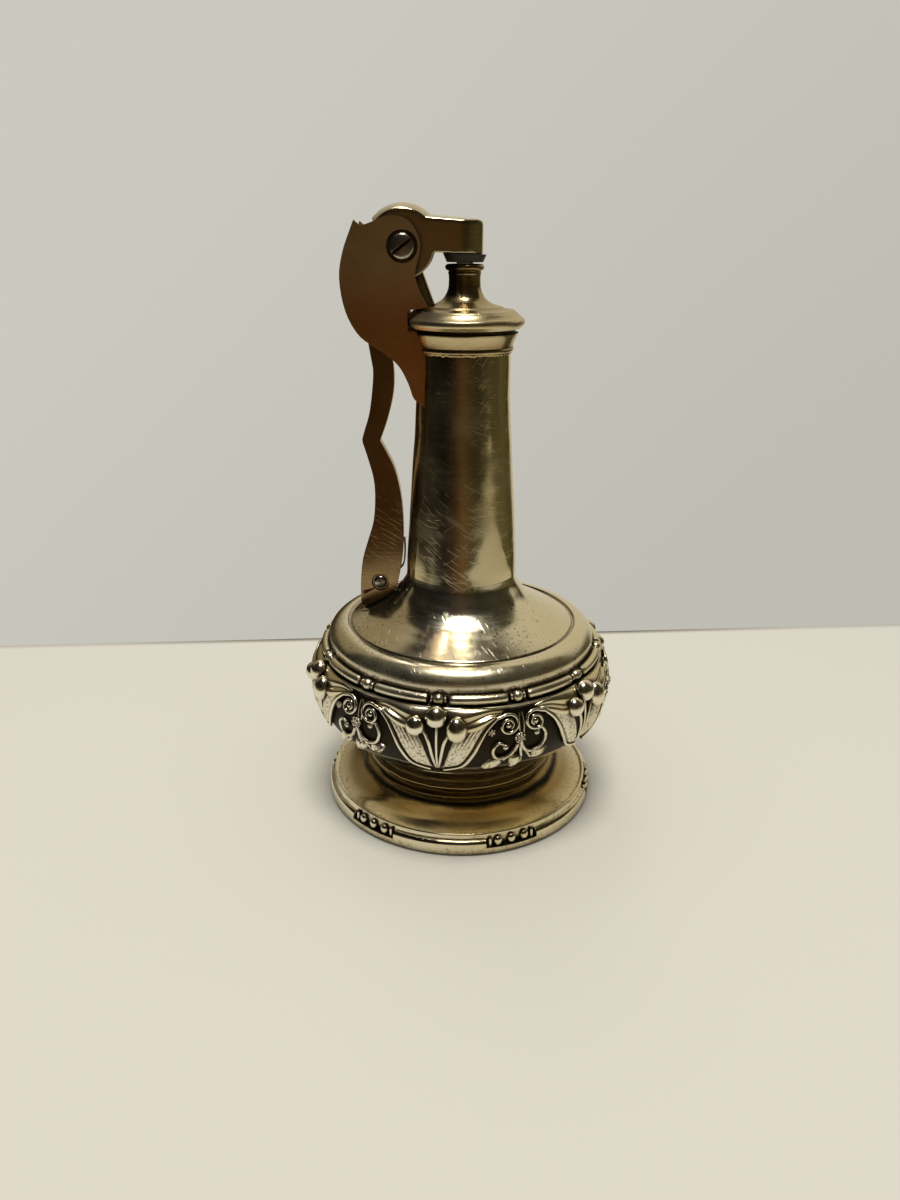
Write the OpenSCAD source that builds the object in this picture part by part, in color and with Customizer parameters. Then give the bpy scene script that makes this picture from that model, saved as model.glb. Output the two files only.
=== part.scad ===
// Table lighter: a turned silver vase with a chased frieze, and a squeeze lever
// that lifts the snuffer and spins the spark wheel through a toothed sector.
// Millimetres, +Z up, origin on the vase's axis at the underside of the foot.
// The mechanism stands on the -X side, and the front is -Y.

/* [Foot] */
// Radius of the foot's rim
foot_r = 25.5; // [23:0.5:28]
// Height of the foot's rim band
foot_rim_h = 2.7; // [2:0.1:3.4]
// Height of the dish where it meets the neck
foot_dish_h = 5.7; // [5.2:0.1:6.5]
// Radius of the neck
neck_r = 17; // [15.5:0.25:18]
// Thickness of the silver sheet
wall = 0.9; // [0.7:0.05:1.1]
// Number of beaded panels let into the rim
panel_count = 6; // [4:1:8]
// Radius of a panel bead
panel_bead_r = 0.75; // [0.6:0.01:0.8]

/* [Bowl and frieze] */
// Largest radius of the bowl under the frieze
bowl_r = 27.15; // [26:0.25:28]
// Height of the bowl's lower lip
bowl_base_z = 14.2; // [13:0.1:15]
// Height of the bowl's widest place above its lower lip
belly_rise = 9.2; // [8.8:0.1:9.6]
// Height of the seam between bowl and shoulder
seam_z = 30.3; // [29.5:0.1:31.5]
// How far that seam lies inside the bowl's largest radius
seam_inset = 2.15; // [1.9:0.05:2.4]
// Number of frieze repeats
repeat_count = 6; // [5:1:7]
// Angle of the first berry cluster from the front
frieze_turn = -8; // [-30:1:30]
// How far the leaves stand off the bowl
relief = 0.75; // [0.5:0.05:0.9]
// Radius of the middle berry
berry_r = 1.45; // [1.2:0.05:1.6]
// Radius of the rods and beads in the seam moulding
rod_r = 0.9; // [0.7:0.05:1]

/* [Shoulder and column] */
// How far the groove on the shoulder lies inside the seam
groove_inset = 4.7; // [4.2:0.1:5.5]
// Height of the groove on the shoulder
groove_z = 34.8; // [34:0.1:35.5]
// Height where the column begins
column_base_z = 44; // [43:0.25:46]
// Radius of the column where it begins
column_base_r = 9.85; // [9.6:0.05:10.2]
// Radius of the column at the collar
column_top_r = 7.75; // [7.4:0.05:8]
// Height of the collar's lower edge
collar_z = 82.4; // [81.5:0.1:83]
// Height of the collar
collar_h = 3; // [2.6:0.1:3.3]
// Radius of the collar's flared rim
collar_r = 8.9; // [8.6:0.05:9.1]

/* [Burner] */
// Radius of the burner cap
cap_r = 9.95; // [9.6:0.05:10.2]
// Gap between the collar and the cap
cap_gap = 0.7; // [0.4:0.05:1]
// Height of the burner cap's rounded edge and top
cap_h = 3.3; // [3:0.1:3.6]
// Radius of the nozzle's neck
nozzle_r = 2.6; // [2.4:0.05:2.8]
// Height of the nozzle above the cap
nozzle_h = 6.5; // [6:0.1:6.8]
// Radius of the wick
wick_r = 1.4; // [1.2:0.05:1.6]
// How far the wick stands out of the nozzle
wick_out = 0.95; // [0.5:0.05:1]

/* [Snuffer arm] */
// Half the width of the arm
arm_half_w = 3.9; // [3.8:0.02:3.92]
// Thickness of the arm's walls
arm_wall = 0.75; // [0.6:0.05:0.8]
// Reach of the arm past the vase's axis
arm_reach = 2.95; // [2.6:0.05:3.2]
// Height of the arm at its end
arm_h = 4.9; // [4.6:0.1:5.2]
// Radius of the hood at its crown
hood_r = 6.4; // [6.2:0.05:6.6]
// Fall of the hood from its crown to its edges
hood_crown = 0.9; // [0.6:0.05:1]
// Angle of the hood's open end, from the arm
hood_end = 142; // [135:1:145]
// Radius of the snuffer cup at the arm
cup_r = 3.6; // [3.3:0.05:3.8]
// Radius of the snuffer cup's mouth
cup_mouth_r = 2.95; // [2.8:0.05:3.2]
// Gap between the cup and the nozzle
cup_gap = 0.25; // [0.15:0.05:0.35]

/* [Pivots] */
// Place of the arm's pivot along X
pivot_x = -9.8; // [-10.2:0.1:-9.6]
// Height of the arm's pivot
pivot_z = 98.5; // [98:0.1:99]
// Place of the lever's pin along X
pin_x = -14.7; // [-15:0.1:-14.4]
// Height of the lever's pin
pin_z = 41.6; // [41.2:0.1:42]
// Radius of the lever's pin
pin_r = 0.8; // [0.6:0.05:0.95]
// Radius of the pin's domed ends
pin_head_r = 1.15; // [1.05:0.05:1.3]
// Radius of the pivot screw's shank
screw_r = 1; // [0.8:0.05:1.1]
// Radius of the pivot screw's head
screw_head_r = 1.95; // [1.8:0.05:2.1]
// Radius of the bush on the pivot screw
bush_r = 1.5; // [1.4:0.02:1.6]
// Radial running clearance of everything that turns
running = 0.04; // [0.02:0.01:0.08]

/* [Gearing and spark] */
// Module of the pinion and the sector
gear_module = 0.4; // [0.38:0.01:0.42]
// Teeth of the pinion
pinion_teeth = 13; // [12:1:14]
// Travel of the lever in degrees
lever_travel = 3.5; // [3:0.1:3.5]
// Radius of the spark wheel
wheel_r = 4.1; // [3.9:0.05:4.2]
// Width of the spark wheel
wheel_w = 2.95; // [2.6:0.05:3]
// Number of teeth cut across the spark wheel
wheel_teeth = 36; // [28:1:44]
// Radius of the flint
flint_r = 1.2; // [1:0.05:1.2]
// Radius of the flint tube
flint_tube_r = 1.6; // [1.5:0.05:1.7]
// Lean of the flint tube from upright
flint_lean = 20.8; // [18:0.2:23]

/* [Plates and lever] */
// Thickness of the cheeks
cheek_t = 0.8; // [0.6:0.05:0.9]
// Gap between the arm and each cheek
cheek_gap = 0.1; // [0.08:0.01:0.2]
// Thickness of the lever
lever_t = 2.4; // [2.2:0.1:2.6]
// Thickness of the lug in the lever's slot
lug_t = 1; // [0.8:0.05:1.1]
// Thickness of the toothed sector
sector_t = 1.4; // [1.2:0.05:1.5]
// Thickness of the lever's leaf spring
leaf_t = 0.3; // [0.2:0.02:0.35]

/* [Underside] */
// Thickness of the tank's base plate
base_plate_t = 0.8; // [0.6:0.1:1]
// Radius of the filler plug's head
plug_r = 5; // [4.5:0.1:5.5]
// Thickness of the filler plug's head
plug_h = 1.4; // [1:0.1:1.8]

/* [Hidden] */
$fn = 96;
// Clearance left between parts that are soldered or seated together.
seat = 0.01;

silver = "silver";
dark_silver = "dimgray";
satin = "lightsteelblue";
brass = "goldenrod";
steel = "slategray";

// Smooth curve through a list of points, with the end points kept.
function span(a, b, c, d, t) =
    0.5 * (2 * b + (c - a) * t + (2 * a - 5 * b + 4 * c - d) * t * t
    + (3 * b - a - 3 * c + d) * t * t * t);
function curve(p, n = 4) = let(m = len(p) - 1) concat(
    [for (i = [0 : m - 1], k = [0 : n - 1])
        span(p[max(i - 1, 0)], p[i], p[i + 1], p[min(i + 2, m)], k / n)],
    [p[m]]);
function arc(c, r, from, to, n = 8) =
    [for (i = [0 : n]) let(a = from + (to - from) * i / n) c + r * [cos(a), sin(a)]];
function reversed(p) = [for (i = [len(p) - 1 : -1 : 0]) p[i]];
function shifted(p, d) = [for (q = p) q + d];

// A plate drawn in the XZ plane, from y0 to y1.
module plate(y0, y1) {
    translate([0, y1, 0]) rotate([90, 0, 0]) linear_extrude(y1 - y0) children();
}
// A round bar along Y.
module bar(x, z, r, y0, y1) {
    translate([x, y0, z]) rotate([-90, 0, 0]) cylinder(r = r, h = y1 - y0);
}
module around(count, turn = 0) {
    for (i = [0 : count - 1]) rotate([0, 0, turn + i * 360 / count]) children();
}

// Foot and underside

rim_in_r = foot_r - 1.3;
crease_r = neck_r + 1.5;
rim_outline = concat(
    arc([foot_r - 0.5, 0.5], 0.5, -90, 0, 4),
    arc([foot_r - 1, foot_rim_h - 0.75], 0.9, 10, 80, 5),
    [[foot_r - 1.02, foot_rim_h + 0.55]],
    arc([rim_in_r, foot_rim_h + 0.85], 0.25, 0, 150, 6));
dish_outline = curve([[rim_in_r - 0.5, foot_rim_h + 0.85], [rim_in_r - 2.6, foot_dish_h - 1.65],
    [rim_in_r - 4.4, foot_dish_h - 0.85], [crease_r, foot_dish_h]]);
neck_step = [[crease_r - 0.35, foot_dish_h + 0.55], [neck_r + 0.35, foot_dish_h + 1],
    [neck_r, foot_dish_h + 1.5]];
neck_z = foot_dish_h + 1.5;
recess_r = rim_in_r - 1;
ledge = 0.4;
panel_turn = frieze_turn + 180 / panel_count;
panel_half = 10.8;
panel_r = foot_r - 1.05;
panel_z = foot_rim_h - 1.3;
module foot() {
    color(silver) difference() {
        rotate_extrude() polygon(concat(
            [[foot_r - 1.4, 0]], rim_outline, dish_outline, neck_step,
            [[neck_r - wall - ledge, neck_z], [neck_r - wall - ledge, foot_dish_h],
            [crease_r - wall, foot_dish_h - wall], [recess_r - 3, foot_dish_h - 1.6 - wall],
            [recess_r, foot_rim_h - 0.35], [recess_r, 0.4]]));
        around(panel_count, panel_turn) rotate([0, 0, -90 - panel_half])
            rotate_extrude(angle = 2 * panel_half) translate([panel_r, panel_z]) square([2, 4]);
    }
}
module panel_beads() {
    bar_w = 0.55;
    color(silver) around(panel_count, panel_turn) {
        for (a = [-5.8, 0, 5.8]) rotate([0, 0, a]) intersection() {
            translate([0, panel_bead_r - 0.05 - foot_r, panel_z + panel_bead_r]) sphere(panel_bead_r);
            translate([-2, -panel_r - 3, panel_z + seat]) cube([4, 3 - seat, 3]);
        }
        for (a = [-9.2, 9.2]) rotate([0, 0, a])
            translate([-bar_w / 2, 0.2 - foot_r, panel_z + seat])
                cube([bar_w, foot_r - 0.2 - panel_r - seat, 1.5]);
    }
}
ring_r = neck_r + 0.25;
ring_h = 2;
module neck_ring() {
    color(silver) rotate_extrude() polygon(concat(
        [[neck_r - wall, neck_z], [neck_r + 0.05, neck_z]],
        arc([ring_r, neck_z + ring_h - 0.65], 0.45, -70, 70, 8),
        [[neck_r + 0.2, neck_z + ring_h], [neck_r - wall, neck_z + ring_h]]));
}
plate_r = neck_r - wall - 0.02;
boss_r = 3.4;
boss_top_z = neck_z + base_plate_t + 2.4;
plug_shank_r = 2.4;
module base_plate() {
    color(silver) rotate_extrude() polygon([
        [plug_shank_r, neck_z], [plate_r, neck_z], [plate_r, neck_z + base_plate_t],
        [boss_r, neck_z + base_plate_t], [boss_r, boss_top_z], [plug_shank_r, boss_top_z]]);
}
washer_t = 0.5;
plug_top_z = neck_z - washer_t;
module plug_washer() {
    color("saddlebrown") translate([0, 0, plug_top_z]) difference() {
        cylinder(r = plug_r - 0.5, h = washer_t);
        translate([0, 0, -1]) cylinder(r = plug_shank_r + 0.15, h = washer_t + 2);
    }
}
module filler_plug() {
    color(silver) difference() {
        union() {
            translate([0, 0, plug_top_z - plug_h]) rotate_extrude() polygon(concat(
                [[0, 0]], arc([plug_r - 0.4, 0.4], 0.4, -90, 0, 4),
                [[plug_r, plug_h], [0, plug_h]]));
            translate([0, 0, plug_top_z - 0.1])
                cylinder(r = plug_shank_r - 0.03, h = washer_t + 3);
        }
        translate([-plug_r - 1, -0.6, plug_top_z - plug_h - 1])
            cube([2 * plug_r + 2, 1.2, 1.7]);
    }
}

// Bowl, frieze and seam moulding

bowl_neck_z = neck_z + ring_h;
belly_z = bowl_base_z + belly_rise;
belly_end_z = seam_z - 1.15;
lip_r = neck_r + 4.4;
seam_r = bowl_r - seam_inset;
groove_r = seam_r - groove_inset;
// Radius of the upright arc that falls in by a depth over a height.
function arc_r(depth, height) = (depth * depth + height * height) / (2 * depth);
belly_low_r = arc_r(bowl_r - lip_r + 0.33, belly_rise);
belly_top_r = arc_r(seam_inset - 0.81, belly_end_z - belly_z);
cavetto = curve([[neck_r + 0.2, bowl_neck_z], [neck_r + 1.1, bowl_neck_z + 1.6],
    [lip_r - 1.7, bowl_base_z - 1.1], [lip_r, bowl_base_z - 0.1]]);
lip = [[lip_r, bowl_base_z - 0.1], [lip_r + 0.15, bowl_base_z + 0.2],
    [lip_r - 0.1, bowl_base_z + 0.5], [lip_r - 1.4, bowl_base_z + 0.5],
    [lip_r - 1.4, bowl_base_z - 0.1]];
// The moulding lies in a round seat at the bowl's top.
bead_r = rod_r * 1.08;
bead_seat_r = bead_r + 0.02;
seat_r = seam_r - bead_seat_r;
// The bowl's profile out to its surface, moved out by a distance. Two arcs meet at belly_z.
module belly_area(out, z0, z1) {
    belly_half(belly_low_r, out, z0, belly_z);
    belly_half(belly_top_r, out, belly_z, z1);
}
module belly_half(r, out, z0, z1) {
    intersection() {
        translate([0, z0]) square([bowl_r + 3, z1 - z0]);
        union() {
            square([bowl_r - r, z1]);
            translate([bowl_r - r, belly_z]) circle(r + out, $fn = 128);
        }
    }
}
module bowl() {
    color(dark_silver) rotate_extrude() {
        difference() {
            union() {
                belly_area(0, bowl_base_z, belly_end_z);
                polygon(lip);
            }
            belly_area(-wall, bowl_base_z - 1, seam_z);
        }
        polygon(concat(cavetto, [[lip_r - 1.4, bowl_base_z - 0.1]],
            reversed(shifted(cavetto, [-wall, wall * 0.6])),
            [[neck_r + 0.2 - wall, bowl_neck_z]]));
        polygon(concat([[seam_r + 0.15, belly_end_z]],
            arc([seam_r, seam_z], bead_seat_r, 270, 180, 6),
            [[seat_r - wall, seam_z], [seat_r - wall, belly_end_z]]));
    }
}
module relief_skin(out) {
    rotate_extrude() difference() {
        belly_area(out, bowl_base_z + 2, belly_end_z);
        belly_area(seat, bowl_base_z + 1, seam_z);
    }
}
// A prism at the front of the bowl, drawn as (sideways, height).
module prism() {
    rotate([90, 0, 0]) translate([0, 0, bowl_r - 7]) linear_extrude(9) children();
}
function up(p) = [for (q = p) q + [0, bowl_base_z]];
leaf_outer = up(curve([[1, 4.1], [4.1, 5.4], [6.2, 8], [7.8, 10.8], [9.4, 13], [10.6, 14]], 3));
leaf_inner = up(curve([[8.6, 14.4], [5.4, 14.1], [3.7, 11.7], [2, 8.8], [1, 5.8]], 3));
leaf_ribs = [for (k = [0.3, 0.7]) up([[1.6, 5.6 - k * 0.5], [2.4 + 2.8 * k, 8.8 - 2 * k],
    [4.1 + 3 * k, 11.9 - 2 * k], [5.8 + 3 * k, 13.6 - k]])];
function ribbon(p, w) = concat(shifted(p, [-w / 2, 0]), reversed(shifted(p, [w / 2, 0])));
berry_z = bowl_base_z + 13.7;
side_berry = [3.4, berry_z - 1.6];
side_berry_r = berry_r * 0.84;
module leaf_shape() {
    difference() {
        polygon(concat(leaf_outer, leaf_inner));
        for (rib = leaf_ribs) polygon(ribbon(rib, 0.35));
        translate(side_berry) circle(side_berry_r + 0.02);
    }
}
module frieze_leaves() {
    color(silver) around(repeat_count, frieze_turn) for (side = [0, 1]) mirror([side, 0, 0])
        intersection() {
            prism() leaf_shape();
            relief_skin(relief);
        }
}
berry_sink = 0.3;
// A ball with its back cut flat, laid on the bowl at a point given as (sideways, height).
module berry(p, r) {
    belly_at = bowl_r - belly_top_r + sqrt(pow(belly_top_r, 2) - pow(p[1] - belly_z, 2));
    rotate([0, 0, asin(p[0] / belly_at)]) translate([0, -belly_at, p[1]])
        rotate([-asin((p[1] - belly_z) / belly_top_r), 0, 0]) intersection() {
            translate([0, berry_sink, 0]) sphere(r);
            translate([-2, -4, -2]) cube([4, 4 - seat, 4]);
        }
}
module frieze_berries() {
    color(silver) around(repeat_count, frieze_turn) {
        berry([0, berry_z], berry_r);
        for (side = [0, 1]) mirror([side, 0, 0]) berry(side_berry, side_berry_r);
    }
}
// A volute: a band that winds in from its outer end.
function volute(c, r0, r1, from, turns, w, n = 9) = let(
    path = function (s, d) let(a = from + turns * 360 * s, r = r0 + (r1 - r0) * s + d)
        c + r * [cos(a), sin(a)])
    concat([for (i = [0 : n]) path(i / n, w / 2)], [for (i = [n : -1 : 0]) path(i / n, -w / 2)]);
scroll_z = bowl_base_z + 11.8;
module scroll_shape() {
    for (side = [0, 1]) mirror([side, 0, 0]) {
        polygon(volute([2, scroll_z], 1.7, 0.75, 165, -1.1, 0.45));
        translate([2, scroll_z]) circle(0.5, $fn = 24);
        polygon(volute([3.4, scroll_z - 3.3], 1.45, 1, -125, 0.75, 0.42));
        translate([2.55, scroll_z - 2.4]) circle(0.45, $fn = 24);
        translate([3.4, bowl_base_z + 5.2]) rotate([0, 0, -20]) circle(0.9, $fn = 24);
    }
    polygon([[-0.5, bowl_base_z + 4.4], [0.5, bowl_base_z + 4.4], [0.4, scroll_z - 2.4],
        [0, scroll_z - 1.4], [-0.4, scroll_z - 2.4]]);
}
module frieze_scrolls() {
    color(silver) around(repeat_count, frieze_turn + 180 / repeat_count) intersection() {
        prism() scroll_shape();
        relief_skin(relief * 0.8);
    }
}
bead_count = 2 * repeat_count;
rod_gap = 4.6;
lap = 0.24;
module rod_and_bead_moulding() {
    color(silver) {
        around(bead_count, frieze_turn) {
            translate([0, -seam_r, seam_z]) sphere(bead_r, $fn = 36);
            rotate([0, 0, -90 + rod_gap]) rotate_extrude(angle = 360 / bead_count - 2 * rod_gap)
                translate([seam_r, seam_z]) circle(rod_r * 0.9, $fn = 36);
        }
        rotate_extrude() translate([seat_r - lap, seam_z]) square([lap + 0.6, 0.5]);
    }
}

// Shoulder, column and collar

shoulder_edge_r = seam_r - 0.75;
ovolo = arc([groove_r + 0.75, seam_z + 1.1], groove_z - seam_z - 1.1, 0, 90, 8);
dome_in_r = column_base_r + 1.05;
// A point of the dome, with its place between groove and column as a share.
function dome(share, rise) = [groove_r - 0.1 - share * (groove_r - 0.1 - dome_in_r),
    groove_z + rise];
shoulder_dome = curve([dome(0, 0), dome(0.24, 1.1), dome(0.45, 2.1), dome(0.67, 3.2),
    dome(0.88, 4.8), [dome_in_r, column_base_z - 2.8],
    [column_base_r + 0.25, column_base_z - 1.4], [column_base_r, column_base_z]]);
shoulder_foot_r = seat_r - lap - seat;
shoulder_outer = concat([[shoulder_foot_r, seam_z], [shoulder_foot_r, seam_z + 0.55]],
    [for (p = ovolo) [min(p[0], shoulder_edge_r), p[1]]],
    [[groove_r + 0.35, groove_z - 0.35]], shoulder_dome);
module shoulder() {
    color(silver) rotate_extrude() polygon(concat(shoulder_outer,
        [[column_base_r - wall, column_base_z]],
        [for (p = reversed(shoulder_dome)) [p[0] - 0.3, p[1] - wall]],
        [[seat_r - wall, seam_z + 1], [seat_r - wall, seam_z]]));
}
column_top_z = collar_z + collar_h;
column_outer = curve([[column_base_r, column_base_z], [column_base_r - 0.28, column_base_z + 6],
    [column_top_r + 0.8, column_base_z + 21], [column_top_r + 0.26, column_base_z + 29.5],
    [column_top_r, collar_z], [column_top_r, column_top_z]], 3);
module column() {
    color(silver) rotate_extrude() polygon(concat(column_outer,
        [[column_top_r - wall, column_top_z]],
        reversed(shifted(column_outer, [-wall, 0]))));
}
collar_outer = concat([[column_top_r + 0.02, collar_z]],
    arc([column_top_r + 0.15, collar_z + 0.4], 0.4, -70, 70, 6),
    curve([[column_top_r + 0.35, collar_z + 0.9], [column_top_r + 0.55, collar_z + 1.5],
        [collar_r - 0.1, column_top_z - 0.35], [collar_r, column_top_z]]));
module collar() {
    color(silver) rotate_extrude() polygon(concat(collar_outer,
        [[column_top_r + 0.02, column_top_z]]));
}

// Burner cap, wick and wadding

cap_z = column_top_z + cap_gap;
cap_top_z = cap_z + cap_h;
nozzle_top_z = cap_top_z + nozzle_h;
skirt_r = column_top_r - wall - 0.05;
cap_edge = concat([[cap_r - 0.65, cap_z]],
    arc([cap_r - 0.75, cap_z + 1], 0.75, -45, 60, 6),
    [[cap_r - 0.9, cap_z + 1.95], [cap_r - 1.55, cap_z + 2.6], [cap_r - 1.7, cap_z + 2.65],
    [6.6, cap_top_z - 0.3], [6.35, cap_top_z - 0.2]]);
nozzle_outer = concat(curve([[6.1, cap_top_z], [4.6, cap_top_z + 0.45], [3.4, cap_top_z + 1.3],
        [nozzle_r + 0.12, cap_top_z + 2.6], [nozzle_r, nozzle_top_z - 1.6]], 5),
    arc([nozzle_r + 0.05, nozzle_top_z - 0.5], 0.5, -75, 75, 6),
    [[nozzle_r - 0.35, nozzle_top_z]]);
flint_dir = [sin(flint_lean), 0, -cos(flint_lean)];
flint_y = -1.45;
module along_flint(from) {
    translate([pivot_x, flint_y, pivot_z] + flint_dir * from) rotate([0, 180 - flint_lean, 0])
        children();
}
tube_from = wheel_r + 0.4;
tube_len = 10.6;
module burner_cap() {
    color(silver) difference() {
        rotate_extrude() polygon(concat(
            [[skirt_r, column_top_z - 2.6], [skirt_r, column_top_z],
            [skirt_r + 1.6, column_top_z], [skirt_r + 1.6, cap_z]],
            cap_edge, nozzle_outer,
            [[wick_r + 0.15, nozzle_top_z], [wick_r + 0.15, cap_z + 1.2],
            [skirt_r - 0.9, cap_z + 1.2], [skirt_r - 0.9, column_top_z - 2.6]]));
        along_flint(tube_from) cylinder(r = flint_tube_r + 0.03, h = tube_len + 2);
    }
}
wick_base_z = bowl_base_z + 18;
module wick() {
    color("ivory") translate([0, 0, wick_base_z + 0.3])
        cylinder(r = wick_r, h = nozzle_top_z + wick_out - wick_base_z - 0.3, $fn = 48);
}
wadding_gap = 0.5;
module wadding() {
    color("white") rotate_extrude() {
        translate([0, boss_top_z + 1])
            square([neck_r - wall - 1.5, bowl_base_z + 1.1 - boss_top_z]);
        belly_area(-wall - wadding_gap, bowl_base_z + 2, belly_end_z - 1);
        polygon([[0, belly_end_z - 1.2], [seat_r - wall - 2.2, belly_end_z - 1.2],
            [12, wick_base_z], [0, wick_base_z]]);
    }
}

// Cheeks, pivot and flint

cheek_in = arm_half_w + cheek_gap;
cheek_out = cheek_in + cheek_t;
horn = [-17.2, pivot_z + 3.75];
cheek_top = curve([horn, [-16.1, pivot_z + 3], [-14.6, pivot_z + 3.4], [-12.3, pivot_z + 4.25],
    [-10.4, pivot_z + 4.35], [-8.5, pivot_z + 3.5], [-7.2, pivot_z + 1.4],
    [-6.98, pivot_z - 0.5], [-7.6, pivot_z - 2.9], [-7.8, pivot_z - 4.5],
    [-7.1, pivot_z - 6.6], [-5.9, cap_top_z + 0.3]], 4);
cheek_tail = curve([[-6.5, column_top_z - 11.4], [-8.1, column_top_z - 10.3],
    [-9.05, column_top_z - 7.8], [-10.6, column_top_z - 5], [-13.3, column_top_z - 2.7],
    [-16.7, column_top_z - 0.5], [-18.9, column_top_z + 3.3], [-19.72, pivot_z - 4.9],
    [-19.1, pivot_z - 1], [-17.7, pivot_z + 2.6], horn], 4);
lid_clear = 0.28;
module cheek_blank() {
    difference() {
        plate(cheek_in, cheek_out) difference() {
            polygon(concat(cheek_top, [[-4, cap_top_z - 0.5], [-4, column_top_z - 11.4]],
                cheek_tail));
            translate([pivot_x, pivot_z]) circle(screw_r + 0.02);
        }
        rotate_extrude() polygon(concat([[0, column_base_z]],
            [for (p = column_outer) if (p[1] < collar_z) p + [0.02, 0]],
            [for (p = collar_outer) p + [0.02, 0]],
            [[collar_r + 0.02, cap_z - lid_clear], [cap_r + lid_clear, cap_z - lid_clear],
            [cap_r + lid_clear, cap_top_z - 0.4], [0, cap_top_z + 1]]));
    }
}
head_sink_r = screw_head_r + 0.5;
head_sink = cheek_t * 0.5;
module front_cheek() {
    color(satin) difference() {
        mirror([0, 1, 0]) cheek_blank();
        bar(pivot_x, pivot_z, head_sink_r, -cheek_out - 1, -cheek_out + head_sink);
    }
}
module rear_cheek() {
    color(satin) cheek_blank();
}
module pivot_screw() {
    color(satin) difference() {
        union() {
            bar(pivot_x, pivot_z, screw_r, -cheek_out + head_sink, cheek_out);
            translate([pivot_x, -cheek_out + head_sink, pivot_z]) rotate([90, 0, 0])
                rotate_extrude() polygon(concat([[0, 0], [screw_head_r, 0]],
                    curve([[screw_head_r, 0.55], [screw_head_r - 0.35, 0.9], [0, 1.15]])));
        }
        translate([pivot_x, -cheek_out + head_sink - 1.6, pivot_z]) rotate([0, -35, 0])
            translate([-3, 0, -0.22]) cube([6, 1.1, 0.44]);
    }
}
module pivot_bush() {
    color(brass) difference() {
        bar(pivot_x, pivot_z, bush_r, -cheek_in, cheek_in);
        bar(pivot_x, pivot_z, screw_r + 0.02, -cheek_in - 1, cheek_in + 1);
    }
}
flint_bore_r = flint_r + 0.05;
flint_len = 4.6;
plug_depth = 1.4;
module flint_tube() {
    color(brass) along_flint(tube_from) difference() {
        cylinder(r = flint_tube_r, h = tube_len);
        translate([0, 0, -1]) cylinder(r = flint_bore_r, h = tube_len + 2);
    }
}
module flint() {
    color("darkslategray") along_flint(wheel_r + 0.04)
        cylinder(r = flint_r, h = flint_len);
}
module flint_plug() {
    color(brass) along_flint(tube_from + tube_len - plug_depth)
        cylinder(r = flint_bore_r - 0.02, h = plug_depth);
}
coil_wire_r = 0.16;
coil_r = flint_bore_r - coil_wire_r - 0.06;
coil_turns = 7;
coil_steps = 12;
coil_len = tube_from + tube_len - plug_depth - (wheel_r + 0.04 + flint_len) - 0.1;
module flint_spring() {
    sides = 6;
    rings = coil_turns * coil_steps;
    rise = (coil_len - 2 * coil_wire_r) / rings;
    points = [for (i = [0 : rings], k = [0 : sides - 1]) let(
        a = i * 360 / coil_steps, b = k * 360 / sides, r = coil_r + coil_wire_r * cos(b))
        [r * cos(a), r * sin(a), coil_wire_r + i * rise + coil_wire_r * sin(b)]];
    function corner(i, k) = i * sides + k % sides;
    skin = [for (i = [0 : rings - 1], k = [0 : sides - 1], t = [0, 1]) t == 0
        ? [corner(i, k), corner(i, k + 1), corner(i + 1, k + 1)]
        : [corner(i, k), corner(i + 1, k + 1), corner(i + 1, k)]];
    ends = [for (k = [1 : sides - 2], t = [0, 1]) t == 0
        ? [corner(0, 0), corner(0, k + 1), corner(0, k)]
        : [corner(rings, 0), corner(rings, k), corner(rings, k + 1)]];
    color(steel) along_flint(wheel_r + 0.04 + flint_len + 0.05)
        polyhedron(points, concat(skin, ends));
}

// Snuffer arm, cup and pinion

arm_in = arm_half_w - arm_wall;
cavity_r = hood_r - hood_crown - arm_wall;
disc_r = 4.95;
arm_bottom_z = nozzle_top_z + 1.55;
arm_top_fall = 4;
arm_under = [[pivot_x + 1, arm_bottom_z + 0.3], [arm_reach, arm_bottom_z - 0.14]];
module hood(turn_to) {
    crown_r = (arm_half_w * arm_half_w + hood_crown * hood_crown) / (2 * hood_crown);
    translate([pivot_x, 0, pivot_z]) rotate([90, 0, 0]) rotate_extrude(angle = turn_to)
        intersection() {
            translate([0, -arm_half_w]) square([hood_r + 1, 2 * arm_half_w]);
            translate([hood_r - crown_r, 0]) circle(crown_r, $fn = 128);
        }
}
// The arm's bar: a plan with a round end, cut by its side view and its crowned top.
module arm_bar(inset) {
    w = arm_half_w - inset;
    end_r = arm_half_w - inset;
    tip = arm_reach - inset;
    drop = [0, inset > 0 ? -4 : 0];
    crown = 0.46;
    crown_r = (arm_half_w * arm_half_w + crown * crown) / (2 * crown) - inset;
    top_z = arm_bottom_z + arm_h + crown - inset;
    intersection() {
        translate([0, 0, arm_bottom_z - 3]) linear_extrude(12) union() {
            translate([pivot_x + 1, -w]) square([tip - end_r - pivot_x - 1, 2 * w]);
            translate([tip - end_r, 0]) circle(end_r);
        }
        plate(-w - 1, w + 1) polygon(concat(
            [arm_under[0] + drop, [tip, arm_under[1][1]] + drop],
            arc([tip - 0.9, top_z - 1.2], 0.9, 0, 70, 6),
            [[pivot_x + 1, top_z + 0.8]]));
        translate([pivot_x, 0, top_z + 0.6 - crown_r]) rotate([0, 90 + arm_top_fall, 0])
            translate([0, 0, -5]) cylinder(r = crown_r, h = 30, $fn = 180);
    }
}
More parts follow.
